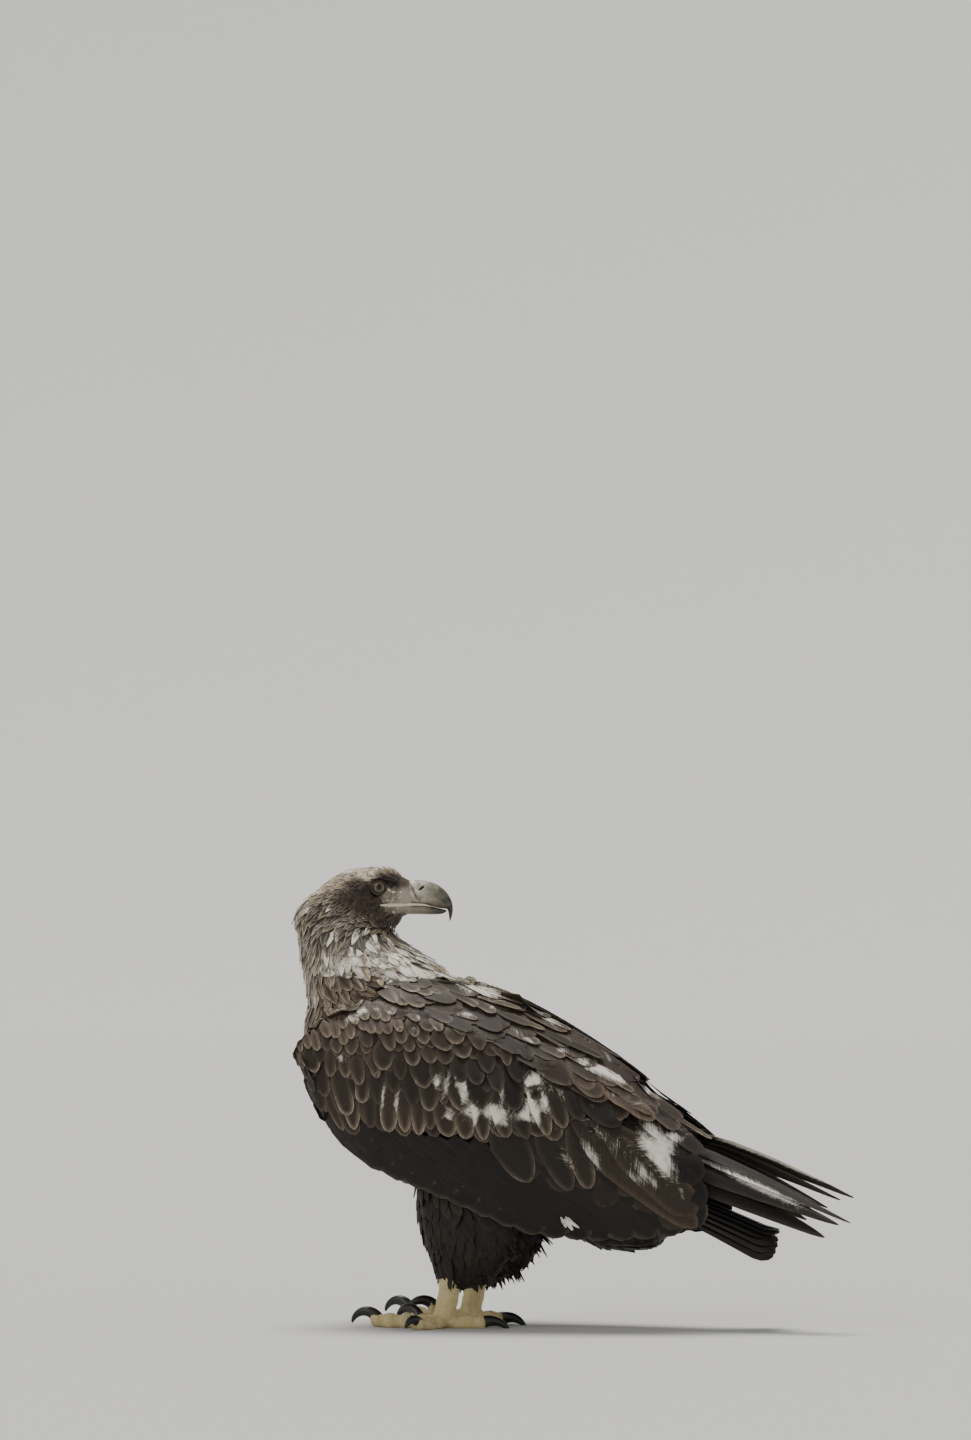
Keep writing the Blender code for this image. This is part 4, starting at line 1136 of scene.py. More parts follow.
def unwrapped(points, region):
    """Places of roots on an unwrap of one region of the skin, rolled out round its own middle line."""
    if region == "head":
        around = turned_about(points, on_head(0, 0, 475), UP, ASIDE)
        length = (head_frame(points)[0] + 200) / 150
    elif region == "neck":
        around = turned_about(points, np.array([0.0, -110, 0]), FRONT, LEFT)
        length = (points[:, 2] - 350) / 110
    elif region == "trunk":
        around = turned_about(points, np.array([0.0, 0, 250]), UP, LEFT)
        length = (points[:, 1] + 200) / 480
    else:
        out = np.sign(points[:, :1])
        middle = np.c_[out * 48, np.full((len(points), 1), 15.0), points[:, 2:]]
        rel = points - middle
        turn = np.arctan2(rel[:, 1], rel[:, 0] * out[:, 0]) / (2 * math.pi) + 0.5
        around = turn / 2 + (out[:, 0] < 0) * 0.5
        length = (points[:, 2] - 35) / 190
    return np.clip(np.c_[around, length], 0, 1) * (1 - PATCH * 2)


# No feathers grow ahead of the lores, on the eyes, in the shadow of the brow or under the folded wings, and
# those of the neck end short of the shoulder.
LORES = -71.5
WINGS = ["wing_left", "wing_right"] + SHELLS
lies = nearby(form_points, lie_places, 2) @ np.array(lie_values)
lies[:, :3] = unit(lies[:, :3])
reach, aside, z = head_frame(form_points)
keep = ~((reach > LORES) & (z > 440))
for side in (1, -1):
    eye = on_head(EYE_REACH, (EYE_SIDE + 4) * side, EYE_Z)
    keep &= np.linalg.norm(form_points - eye, axis=1) > 11.5
under_brow = (z > 495) & (z < 502) & (reach > -112) & (reach < -76) & (np.abs(aside) > 17)
keep &= ~(under_brow & (np.abs(form_normals @ ASIDE) > 0.6))
candidates = np.nonzero(keep)[0]
shoulder_top = (form_points[candidates, 2] > 368) & (form_points[candidates, 1] < -84)
candidates = candidates[~near_to(WINGS, form_points[candidates], 2.6) | shoulder_top]
ends = form_points[candidates] + lies[candidates, :3] * lies[candidates, 3:4]
over_shoulder = (ends[:, 2] > 340) & (ends[:, 2] < 383) & (ends[:, 1] > -84) & (ends[:, 1] < 10)
candidates = candidates[~(over_shoulder & (np.abs(ends[:, 0]) > 50))]
rng = np.random.default_rng(11)
picked = candidates[scattered(form_points[candidates], lies[candidates, 5])]
roots, ups, values = form_points[picked], form_normals[picked], lies[picked]
on_thigh = near_to(["thigh_left", "thigh_right"], roots, 2.5)
on_neck = (roots[:, 2] > 375) & (roots[:, 1] < 0)
regions = np.where(on_thigh, 3, np.where(roots[:, 2] > 438, 0, np.where(on_neck, 1, 2)))

REGIONS = [
    ("head", "plumage_crown"), ("neck", "plumage_mantle"), ("trunk", "plumage_brown"),
    ("thighs", "plumage_brown"),
]
for region, (name, body_slot) in enumerate(REGIONS):
    rng = np.random.default_rng(20 + region)
    mine = regions == region
    p, n, v = roots[mine], ups[mine], values[mine]
    count = len(p)
    ways = unit(v[:, :3] + rng.normal(0, 0.10, (count, 3)))
    lengths = v[:, 3] * rng.uniform(0.85, 1.2, count)
    halves = v[:, 4] * rng.uniform(0.85, 1.1, count)
    cut = SMALL if name == "head" else BROAD
    laid = lay(p, n, ways, lengths, 4 if name == "head" else 5)
    smooth = (laid[1][:, 1:] * laid[1][:, :-1]).sum(2).min(1) > 0.3  # none is bent sharply into a fold
    p, v, lengths, halves = p[smooth], v[smooth], lengths[smooth], halves[smooth]
    laid, count = tuple(part[smooth] for part in laid), len(p)
    tones = plumage_at(laid[0][:, -2])
    uneven = {"head": 0.45, "neck": 0.6}.get(name, 0.22)
    colours = tones[:, :3] * np.exp(rng.normal(0, uneven, (count, 1)))
    whites = np.clip(tones[:, 3] + rng.normal(0, 0.24, count) * ramp(tones[:, 3], 0.05, 0.3), 0, 1)
    fringes = tones[:, 4] * rng.uniform(0.5, 1.3, count)
    tips = rng.uniform(-0.4, 0.5, count) * np.clip(lengths / 24, 0.3, 1) * (4 if name == "thighs" else 1)
    nape = ramp(-head_frame(p)[0], 150, 182)
    shaggy = nape if name == "head" else ramp(p[:, 2], 385, 420) * (name == "neck")
    tips -= shaggy * rng.uniform(-0.3, 2.6, count)
    made = feathers("feathers_" + name, cut, laid, lengths, halves, v[:, 7], tips, colours, whites, fringes,
                    unwrapped(p, name), roll=rng.normal(0, 0.05, count), pointed=v[:, 6], thick=0.3,
                    bend=rng.normal(0, 0.3, count))
    paint(made, vane_finish)

# ---- ragged tufts that hang free below and behind each thigh: tip, spread, count, how far they lean back
TUFTS = [
    ((47, -14, 48), 3, 9, -0.1), ((58, 0, 45), 3, 9, 0.0), ((36, 0, 45), 3, 9, 0.0),
    ((47, 10, 42), 4, 12, 0.15), ((47, 24, 43), 4, 12, 0.3), ((47, 44, 50), 4, 16, 0.45),
    ((47, 54, 66), 4, 12, 0.6), ((48, 72, 80), 4, 16, 0.6), ((48, 82, 94), 4, 12, 0.7),
    ((44, 90, 104), 4, 10, 0.9),
]
rng = np.random.default_rng(31)
tips, ways, outs = [], [], []
for side in (1, -1):
    for place_of, spread, count, lean in TUFTS:
        for _ in range(count):
            tip = np.array(place_of) * [side, 1, 1] + rng.normal(0, 1, 3) * [spread, spread, spread * 0.7]
            way = unit(np.array([0.0, lean, -1.0]) + rng.normal(0, 0.1, 3))
            out = tip - [side * (48 - rng.uniform(10, 60)), 15, tip[2]]
            tips.append(tip)
            ways.append(way)
            outs.append(unit(out - way * (out @ way)))
tips, ways, outs = np.array(tips), np.array(ways), np.array(outs)
count = len(tips)
lengths = rng.uniform(28, 42, count)
back = np.linspace(-1, 0, 6)[None, :, None] * lengths[:, None, None]
middles = tips[:, None] + ways[:, None] * back
laid = (middles, np.repeat(outs[:, None], 6, 1), np.repeat(ways[:, None], 6, 1))
tones = plumage_at(tips)
colours = tones[:, :3] * np.exp(rng.normal(0, 0.2, (count, 1)))
made = feathers("tufts_thighs", BROAD, laid, lengths, rng.uniform(3.4, 6.0, count), 0,
                rng.uniform(-2.5, 1.5, count), colours, 0.0, 0.05, unwrapped(laid[0][:, 0], "thighs"),
                pointed=0.9, thick=0.3, bend=rng.normal(0, 0.4, count))
paint(made, vane_finish)

# ------------------------------------------------------------------ folded wings
# Each wing is closed along the body. Rows of coverts shingle down it from small to large, the inner flight
# feathers hang out below them, and scapulars and long tertials cover the join with the back.
WING_LOW_EDGE = [
    (-164, 262), (-140, 236), (-100, 204), (-50, 178), (0, 158), (60, 134), (120, 110), (180, 104),
    (240, 105), (284, 112), (300, 124),
]
# Line of the tips (y, z), spacing, length, half width, slope below level at the front and the rear, depth of
# the roots and the tips, colour, strength of the fringe.
COVERT_ROWS = [
    # primary coverts, then greater coverts
    ([(-146, 262), (-100, 224), (-40, 186), (10, 166)], 17, 62, 13, 66, 40, 6.5, 2.4, "2e251d", 0.2),
    ([(-134, 246), (-98, 221), (-54, 219), (13, 214), (82, 214), (140, 219)],
     19.5, 66, 13.5, 86, 66, 4.8, 1.0, "43362b", 0.75),
    # median coverts, lower and upper
    ([(-148, 270), (-118, 246), (-80, 252), (-9, 266), (60, 262), (118, 262)],
     18.5, 52, 12.5, 88, 66, 4.0, 0.7, "43362b", 0.75),
    ([(-149, 298), (-100, 284), (-57, 289), (38, 303), (110, 296)],
     16, 42, 11, 88, 62, 3.6, 0.4, "46392d", 0.7),
    # lesser coverts, in three rows
    ([(-149, 316), (-100, 306), (-30, 312), (60, 318), (95, 314)],
     12.5, 30, 8.2, 86, 58, 3.0, 0.3, "493b2f", 0.65),
    ([(-148, 334), (-100, 324), (-30, 328), (70, 331)], 11.5, 26, 7.4, 84, 55, 2.7, 0.2, "4d3f33", 0.65),
    ([(-146, 346), (-100, 340), (-30, 342), (50, 342)], 11, 24, 7.0, 80, 50, 2.5, 0.1, "514336", 0.7),
    # shoulder
    ([(-150, 358), (-100, 354), (-40, 354), (20, 352)], 11, 24, 7.0, 72, 42, 2.3, 0.0, "56483a", 0.75),
]
SCAPULAR_ROWS = [
    # outer, middle and inner
    ([(-92, 360), (-72, 358), (-26, 354), (22, 342), (75, 322), (122, 300), (150, 276), (185, 257),
      (236, 238)],
     27, 62, 15.5, 18, 36, 3.8, -0.4, "4d3f33", 0.6),
    ([(-86, 372), (-60, 370), (0, 362), (60, 344), (110, 320), (160, 294), (215, 262), (262, 232)],
     27, 62, 15.0, 16, 36, 3.6, -0.7, "514336", 0.55),
    ([(-72, 385), (-40, 384), (10, 379), (60, 362), (110, 342), (160, 318), (215, 282), (275, 240)],
     25, 60, 13.5, 14, 38, 3.4, -0.9, "56483a", 0.6),
]
# Tip (y, z), length, half width, slope below level.
TERTIALS = [
    ((206, 184), 92, 20, 60), ((226, 152), 118, 22, 56), ((248, 132), 138, 22, 54),
    ((268, 116), 150, 23, 53), ((288, 116), 152, 22, 51), ((292, 138), 146, 21, 47),
    ((290, 168), 136, 19, 42), ((286, 196), 120, 17, 38),
]
INNER_COVERTS = [
    ((110, 169), 74, 20, 62), ((134, 186), 70, 18, 60), ((150, 157), 84, 19, 58), ((176, 160), 88, 18, 56),
    ((172, 196), 74, 17, 56), ((196, 140), 96, 18, 56),
]
# The feathers that show singly, in millimetres. Nearly all of these places were worked out by another
# program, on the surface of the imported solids. Each group has the lift of its tips and the
# depth of its roots, and each feather its tip, a point it grows back towards, its half width, how light it is
# and how pale its fringe.
SHOWN = [
    ("greater", 0.9, 4.2, [
        (106, -113, 220, 115, -132, 271, 9, 0.8, 0.4), (111, -94, 222, 122, -101, 286, 12.3, 0.8, 0.9),
        (115, -74, 224, 123, -77, 283, 9, 0.6, 0.15), (116, -56, 220, 123, -48, 287, 11.2, 0.9, 0.8),
        (117, -34, 220, 122, -35, 285, 11.2, 0.9, 0.7), (116, -19, 217, 120, -16, 278, 10.1, 0.9, 0.75),
        (116, -4, 223, 119, -5, 278, 9, 0.7, 0.3), (114, 13, 215, 117, 7, 276, 12.9, 0.85, 0.6),
        (113, 37, 213, 114, 29, 276, 12.9, 0.8, 0.6), (110, 56, 212, 111, 50, 274, 11.2, 0.8, 0.6),
        (107, 80, 215, 108, 66, 272, 10.6, 0.8, 0.4), (104, 101, 213, 103, 86, 270, 12.3, 0.6, 0.15),
        (100, 127, 218, 92, 105, 281, 11.2, 0.9, 0.6), (96, 144, 226, 85, 119, 285, 12.3, 0.7, 0.5),
        (89, 161, 235, 73, 140, 289, 12.3, 0.5, 0.15), (76, 200, 227, 75, 158, 273, 19, 0.4, 0.08),
    ]),
    ("median", 0.4, 4.0, [
        (105, -135, 241, 114, -146, 290, 12.3, 0.6, 0.25), (115, -101, 238, 121, -115, 304, 11.8, 0.8, 0.85),
        (120, -83, 252, 124, -82, 298, 9, 0.8, 0.8), (121, -65, 251, 124, -68, 298, 9, 0.55, 0.1),
        (123, -44, 263, 123, -47, 302, 10.1, 0.5, 0.12), (121, -23, 249, 121, -28, 295, 11.2, 0.5, 0.1),
        (119, -3, 244, 119, -8, 287, 11.2, 0.8, 0.65), (115, 31, 244, 114, 20, 294, 13.4, 0.75, 0.6),
        (118, 14, 252, 117, 8, 294, 7.8, 0.6, 0.3), (111, 55, 247, 106, 45, 296, 17.9, 0.5, 0.2),
        (105, 90, 245, 97, 77, 294, 14.6, 0.45, 0.2),
    ]),
    ("upper median", 0.0, 3.4, [
        (115, -140, 285, 111, -150, 319, 13.4, 0.8, 0.85), (119, -120, 281, 119, -122, 315, 7.3, 0.8, 0.4),
        (122, -101, 280, 120, -106, 313, 7.8, 0.8, 0.6), (123, -86, 272, 122, -91, 309, 9, 0.8, 0.5),
        (124, -64, 280, 122, -73, 311, 7.8, 1, 0.6), (123, -54, 289, 117, -60, 326, 13.4, 0.8, 0.65),
        (122, -37, 278, 120, -40, 311, 9, 0.55, 0.15), (120, -22, 294, 114, -28, 322, 9.5, 0.8, 0.7),
        (120, -10, 269, 116, -18, 311, 14.6, 0.6, 0.6), (118, 7, 266, 114, -1, 307, 9, 0.7, 0.5),
        (118, -1, 297, 109, -10, 324, 10.6, 0.8, 0.4), (114, 15, 296, 105, 7, 324, 10.6, 0.7, 0.3),
        (106, 34, 303, 99, 23, 329, 10.6, 0.8, 0.65), (114, 32, 276, 106, 22, 311, 10.1, 0.5, 0.15),
        (111, 49, 273, 102, 39, 309, 10.6, 0.5, 0.25), (98, 49, 311, 84, 36, 340, 11.2, 0.8, 0.3),
        (105, 61, 286, 95, 50, 320, 11.2, 0.5, 0.2), (95, 80, 294, 82, 69, 324, 7.8, 0.7, 0.35),
        (107, 73, 266, 98, 62, 303, 10.1, 0.5, 0.2), (97, 96, 276, 84, 81, 316, 13.4, 0.45, 0.12),
        (85, 101, 300, 71, 84, 326, 10.1, 0.6, 0.2), (96, 110, 268, 85, 96, 305, 10.1, 0.5, 0.1),
    ]),
    ("lesser", -0.3, 2.6, [
        (111, -156, 308, 100, -166, 329, 5, 0.9, 0.5), (114, -146, 312, 103, -160, 334, 5, 1, 0.6),
        (117, -135, 310, 107, -147, 334, 5.6, 1, 0.6), (116, -124, 324, 103, -137, 345, 6.2, 1.1, 0.6),
        (117, -113, 324, 104, -125, 348, 6.2, 1.1, 0.6), (121, -110, 307, 115, -118, 328, 7.8, 0.9, 0.5),
        (120, -102, 317, 111, -112, 339, 6.2, 1, 0.6), (122, -92, 306, 117, -98, 328, 9, 0.9, 0.45),
        (119, -94, 323, 108, -105, 346, 6.7, 1.1, 0.8), (116, -81, 332, 104, -93, 353, 6.7, 1.1, 0.7),
        (117, -71, 329, 106, -83, 350, 6.7, 1, 0.7), (121, -75, 313, 114, -84, 335, 8.4, 0.7, 0.3),
        (120, -46, 311, 112, -61, 340, 9, 0.9, 0.55), (117, -35, 319, 111, -45, 340, 7.3, 0.9, 0.5),
        (113, -40, 331, 103, -53, 353, 6.2, 1.2, 0.8), (111, -22, 326, 103, -35, 348, 6.2, 0.9, 0.7),
        (112, -11, 318, 105, -23, 342, 7.8, 0.9, 0.7), (105, -7, 332, 94, -21, 355, 10.1, 0.9, 0.7),
        (103, 3, 332, 92, -11, 353, 6.7, 1.1, 0.8), (109, 11, 310, 101, 1, 338, 14.6, 0.9, 0.6),
        (103, 24, 318, 93, 12, 342, 11.2, 1.1, 0.6), (98, 28, 328, 82, 13, 353, 10.1, 0.7, 0.3),
        (112, -92, 339, 99, -104, 357, 6.7, 1.2, 0.8), (110, -81, 344, 96, -95, 361, 6.2, 1.2, 0.8),
        (109, -67, 345, 97, -82, 361, 6.2, 1.1, 0.8), (110, -56, 343, 100, -69, 359, 6.2, 1.1, 0.8),
        (105, -51, 350, 98, -63, 363, 6.2, 1.2, 0.8), (117, -62, 329, 106, -75, 350, 6.7, 1, 0.6),
        (116, -52, 329, 106, -65, 351, 6.7, 1, 0.5), (105, -23, 342, 97, -36, 357, 6.2, 1, 0.7),
        (118, -26, 309, 112, -35, 331, 7.8, 0.8, 0.4), (114, -105, 335, 102, -116, 352, 6.2, 1.2, 0.7),
    ]),
    ("shoulder", -0.4, 2.8, [
        (66, -132, 362, 58, -150, 383, 7, 0.9, 0.8),
        (93, -98, 364, 67, -125, 386, 8, 1.0, 0.9), (96, -82, 362, 70, -110, 386, 8.5, 1.1, 1.0),
        (98, -67, 363, 70, -96, 385, 8.5, 1.1, 1.0), (97, -53, 362, 68, -82, 384, 8.5, 1.1, 1.0),
        (95, -40, 360, 75, -66, 383, 9, 1.1, 1.0), (91, -22, 358, 76, -51, 381, 12.5, 1.2, 1.1),
        (68, -127, 376, 60, -148, 390, 7, 1.1, 0.8), (70, -112, 377, 65, -132, 392, 7.5, 1.1, 0.9),
        (71, -95, 376, 67, -115, 392, 7.5, 1.2, 0.9), (82, -77, 377, 68, -101, 392, 8, 1.2, 1.0),
        (84, -60, 376, 66, -85, 391, 8, 1.2, 1.0), (83, -47, 376, 64, -72, 390, 8, 1.2, 1.0),
        (80, -32, 375, 68, -56, 389, 8.5, 1.2, 1.0), (78, -17, 371, 68, -41, 385, 9, 1.1, 0.9),
        (72, 11, 365, 74, -37, 380, 12.3, 0.7, 0.15), (66, 35, 359, 56, -11, 382, 7.3, 0.9, 0.7),
        (78, 38, 345, 81, 0, 360, 6.2, 0.8, 0.7), (64, 54, 352, 56, 12, 373, 8.4, 1, 0.7),
        (90, 37, 333, 87, -15, 360, 11.2, 0.5, 0.15), (92, 13, 342, 88, -20, 362, 9, 0.8, 0.5),
        (75, 66, 333, 75, 28, 353, 11.2, 0.6, 0.2),
        (23, 73, 361, 32, 12, 385, 5.6, 1, 0.6), (35, 75, 356, 46, 28, 372, 6.7, 1.3, 0.6),
        (18, 128, 332, 25, 80, 356, 5.6, 1, 0.6), (49, 107, 333, 56, 60, 354, 7.3, 1.2, 0.6),
        (65, 107, 319, 71, 71, 334, 6.2, 0.8, 0.6), (61, 135, 305, 66, 101, 322, 7.8, 1, 0.6),
        (32, 170, 302, 49, 101, 336, 10.6, 0.6, 0.3), (81, 145, 272, 75, 103, 311, 16.8, 0.9, 0.25),
        (73, 178, 259, 64, 142, 298, 15.1, 1.1, 0.3), (71, 170, 269, 67, 145, 294, 11.2, 1.2, 0.3),
        (41, 208, 266, 60, 142, 301, 6.7, 1, 0.5), (54, 235, 234, 62, 173, 278, 13.4, 1.6, 0.3),
        (13, 246, 251, 20, 176, 302, 5.6, 0.9, 0.3), (27, 228, 258, 19, 199, 286, 4.5, 0.8, 0.6),
        (22, 292, 213, 32, 221, 260, 5.6, 0.9, 0.6), (55, 92, 338, 58, 52, 357, 7.8, 0.7, 0.2),
    ]),
    ("spot", -0.6, 2.5, [
        (82, 150, 113, 86, 141, 125, 2.2, 1, 0), (84, 143, 116, 88, 137, 127, 1.8, 1, 0),
        (80, 157, 116, 84, 144, 124, 1.8, 1, 0), (81, 151, 119, 85, 142, 128, 2.0, 1, 0),
    ]),
    ("tertial", 0.2, 5.0, [
        (99, 107, 167, 110, 65, 240, 21.3, 0.45, 0.35), (90, 150, 157, 100, 113, 237, 15.7, 0.5, 0.2),
        (86, 173, 160, 93, 148, 233, 13.4, 0.7, 0.4), (60, 288, 117, 91, 147, 244, 24.5, 0.8, 0.10),
        (61, 283, 128, 79, 180, 244, 22, 0.85, 0.0),
        (45, 291, 199, 50, 227, 248, 12, 0.45, 0.04),
    ]),
    ("mantle", -0.5, 2.4, [
        (62, -134, 394, 48, -166, 398, 6, 1, 0), (67, -112, 393, 60, -144, 400, 6.5, 1, 0),
        (68, -90, 393, 64, -126, 401, 6.5, 1, 0), (71, -68, 392, 66, -104, 400, 6.5, 1, 0),
        (70, -46, 391, 66, -84, 398, 6.5, 1, 0.2), (67, -26, 388, 64, -64, 396, 6.5, 1, 0.3),
        (62, -118, 404, 53, -152, 408, 6.5, 1, 0), (60, -94, 405, 60, -126, 411, 6.5, 1, 0),
        (55, -68, 402, 60, -100, 411, 6.5, 1, 0), (56, -42, 397, 55, -78, 407, 6, 1, 0.2),
        (50, -20, 392, 50, -58, 402, 6, 1, 0.3),
        (56, -104, 415, 55, -134, 421, 6, 1, 0), (47, -78, 414, 54, -107, 422, 6, 1, 0.2),
        (36, -54, 408, 47, -82, 418, 5.5, 1, 0.3), (17, -31, 398, 34, -58, 411, 5, 1, 0.4),
    ]),
]
# White mottling, and dark flecks in it: y, z, reach along and across, tilt in degrees, strength. Most of
# these places were worked out by the same program.
# Its last three streaks are not mottling but painted sheen along the top edges of the primaries.
WING_WHITE_AND_SHEEN = [
    (4, 277, 4.7, 9, 0, 1), (13, 270, 2.9, 17.9, -10, 0.8), (28, 273, 5.9, 9, 25, 1),
    (33, 261, 4.7, 10.1, 0, 0.8), (16, 240, 5.9, 7.8, 0, 0.8), (41, 246, 9.4, 7.8, 0, 1),
    (46, 232, 2.4, 9, 0, 0.7), (63, 246, 10.6, 5.6, 0, 1), (72, 238, 8.3, 9, 0, 1),
    (80, 227, 2.5, 8, 20, 0.5), (75, 262, 2.9, 11.2, -8, 0.7), (98, 240, 8.3, 6.7, 0, 0.8),
    (107, 248, 5.9, 11.2, 0, 0.9), (107, 278, 9.4, 9, 0, 1.2), (103, 259, 3.5, 9, 0, 0.8),
    (120, 254, 5.9, 10.1, 15, 0.8), (114, 235, 4.7, 10.1, 15, 0.7), (126, 270, 2.9, 7.8, 40, 0.6),
    (137, 263, 2.9, 9, 30, 0.6), (165, 206, 3.5, 4.5, 0, 0.6), (172, 197, 5.9, 6.7, 0, 0.8),
    (182, 184, 4.7, 13.4, 5, 0.9), (142, 196, 4.7, 10.1, 30, 0.45), (151, 184, 4.7, 10.1, 30, 0.45),
    (227, 229, 9.4, 4.5, 0, 0.8), (239, 213, 8.3, 10.1, 30, 1), (228, 210, 7.1, 3.4, 0, 0.7),
    (247, 197, 9.4, 11.2, 30, 1.1), (255, 179, 9.4, 7.8, -30, 1), (257, 216, 9.4, 5.6, 0, 1),
    (225, 180, 7.1, 9, 30, 0.8), (236, 167, 5.9, 5.6, 0, 0.8), (217, 169, 5.9, 3.4, 0, 0.5),
    (269, 157, 3.5, 10.1, 30, 0.6), (161, 294, 18.9, 4.5, -30, 1.2), (187, 281, 16.5, 3.4, -30, 0.9),
    (184, 264, 5.9, 4.5, 0, 0.6), (207, 259, 23.6, 5.6, -38, 0.35), (15, 377, 16.5, 3.4, -30, 0.8),
    (25, 350, 13, 2.8, -15, 0.8), (128, 311, 7.1, 4.5, 0, 0.6), (90, 325, 16.5, 2.2, -30, 0.8),
    (49, 357, 2.9, 5.6, 0, 0.7), (-89, 354, 5.9, 4.5, 0, 0.9), (-99, 345, 9.4, 5.6, 0, 0.7),
    (-74, 355, 7.1, 4.5, 0, 0.5), (-56, 353, 4.7, 5.6, 0, 0.6), (-123, 367, 2.4, 3.4, 0, 0.8),
    (-59, 258, 2.1, 22.4, -8, 0.8), (-43, 253, 2.6, 13.4, -5, 0.8), (-154, 293, 3.5, 5.6, 0, 0.5),
    (-108, 302, 4.7, 4.5, -40, 0.8), (148, 118, 3.6, 3.6, 0, 1.1), (158, 233, 11.8, 4.5, 0, 0.35),
    (31, 375, 28.3, 4.5, -22, 0.9), (-38, 394, 23.6, 3.4, -25, 0.9), (103, 344, 26, 3.4, -30, 0.7),
    (219, 267, 2.4, 11.2, 35, 0.9), (-24, 347, 5.9, 2.2, -20, 0.6), (-3, 334, 5.9, 2.2, -40, 0.6),
    (-43, 335, 3.5, 4.5, 0, 0.6), (-27, 334, 2.4, 5.6, 40, 0.6), (-66, 285, 3.5, 3.4, 0, 0.6),
    (-11, 232, 2.4, 5.6, -20, 0.5), (-102, 297, 2.4, 4.5, 0, 0.4),
    (-105, 393, 7, 2.6, -8, -1.2), (-68, 396, 9, 2.6, -5, -1.2), (-94, 411, 7, 2.4, -8, -1.1),
    (-49, 403, 6, 3.0, -30, -1.1), (-30, 392, 7, 2.6, -20, -1.1), (-128, 390, 5, 2, -10, -0.8),
    (189, 214, 30, 10, -28, 0.42), (240, 200, 26, 18, -35, 0.3), (60, 238, 45, 7, -4, 0.22),
    # The last three streaks, from y 318 on, are painted sheen along the primaries' top edges.
    (115, 245, 25, 8, 5, 0.25), (349, 160, 52, 4.5, -24, 1), (318, 205, 40, 4.2, -19, 1.3),
    (398, 175, 42, 4.4, -20, 1.3),
]


def wing_white_and_sheen(points):
    """How white either wing is at points: its mottling, and the painted sheen along the primaries' top edges.
    """
    found = np.zeros(len(points))
    for y, z, long, tall, tilt, strength in WING_WHITE_AND_SHEEN:
        c, s = math.cos(math.radians(tilt)), math.sin(math.radians(tilt))
        dy, dz = points[:, 1] - y, points[:, 2] - z
        found += strength * np.exp(-(((dy * c + dz * s) / long) ** 2) - ((dz * c - dy * s) / tall) ** 2)
    return np.clip(found, -1.0, 1.0)


def touch(side, y, z):
    """Where a level line from outside meets one side of the bird, and which way the form faces there."""
    hit, found, _, _ = form_tree.ray_cast(Vector((side * 260, y, z)), Vector((-side, 0, 0)), 260)
    if hit is None:
        hit, found, _, _ = form_tree.find_nearest(Vector((side * 60, y, z)))
    return np.array(hit), np.array(found)


def falling(degrees):
    """The direction of a feather that runs back along the flank, and down at this slope."""
    slope = math.radians(degrees)
    return np.array([0.0, math.cos(slope), -math.sin(slope)])


def feather(tip_at, normal, way, long, half, root, tip, colour, fringe, white=0.0):
    """One line of a wing piece's table: how a feather lies, its size, its ends' depths and its finish."""
    return [*tip_at, *normal, *way, long, half, root, tip, *colour, fringe, white]


# The right wing stops short of the ridge of the back, where the left one lies over it.
RIGHT_TOP = 374
RIGHT_INNER = 36
RIGHT_LOWER = 9


def row_of(side, line, spacing, length, half, front, rear, root, tip, colour, fringe):
    """The feathers of one row, unevenly spaced as real ones are."""
    first, last = line[0][0], line[-1][0]
    count = int(round((last - first) / spacing)) + 1
    rows = []
    for k in range(count):
        share = k / (count - 1)
        y = first + (last - first) * share + rng.normal(0, 0.12) * spacing
        z = blend(line, y)[0] + rng.normal(0, 0.07) * length
        if side < 0 and z > RIGHT_TOP:
            continue
        way = falling(front + (rear - front) * share + rng.normal(0, 4.5))
        long = length * rng.uniform(0.9, 1.15)
        wide = half * rng.uniform(0.9, 1.1)
        depth = tip + 1.5 + rng.normal(0, 0.15)
        tone = srgb(colour) * 0.6 * math.exp(rng.normal(0, 0.2))
        edging = fringe * rng.uniform(0.1, 0.6)
        rows.append(feather(*touch(side, y, z), way, long, wide, root + 1.2, depth, tone, edging))
    return rows


def wing_map(points):
    """Places of roots on the baking map, as each wing is seen from its own side."""
    return np.clip(np.c_[(points[:, 1] + 180) / 520, (420 - points[:, 2]) / 340], 0, 1 - 2 * PATCH)


def wing_piece(name, side, rows, cut, steps, body_slot, roll, camber, **looks):
    """Lays feathers back from their tips and joins them in one piece, without any that folds over a ridge."""
    table = np.array(rows)
    laid = lay(table[:, :3], table[:, 3:6], table[:, 6:9], table[:, 9], steps, backwards=True)
    smooth = (laid[1][:, 1:] * laid[1][:, :-1]).sum(2).min(1) > 0.7
    smooth &= np.linalg.norm(laid[0][:, 1:] - laid[0][:, :-1], axis=2).max(1) < 2.0 * table[:, 9] / steps
    table, laid = table[smooth], tuple(part[smooth] for part in laid)
    looks = {key: value[smooth] if np.ndim(value) else value for key, value in looks.items()}
    wrapped = ramp(-table[:, 4], 0.2, 0.75)  # feathers that face ahead are wrapped round the bend
    made = feathers(name, cut, laid, *table[:, 9:13].T, table[:, 13:16], table[:, 17], table[:, 16],
                    wing_map(laid[0][:, 0]), white_and_sheen_at=wing_white_and_sheen, sides=0.12, tipward=0.5,
                    roll=side * roll * (1 - wrapped), camber=camber + 0.3 * wrapped, **looks)
    paint(made, vane_finish)
    return made


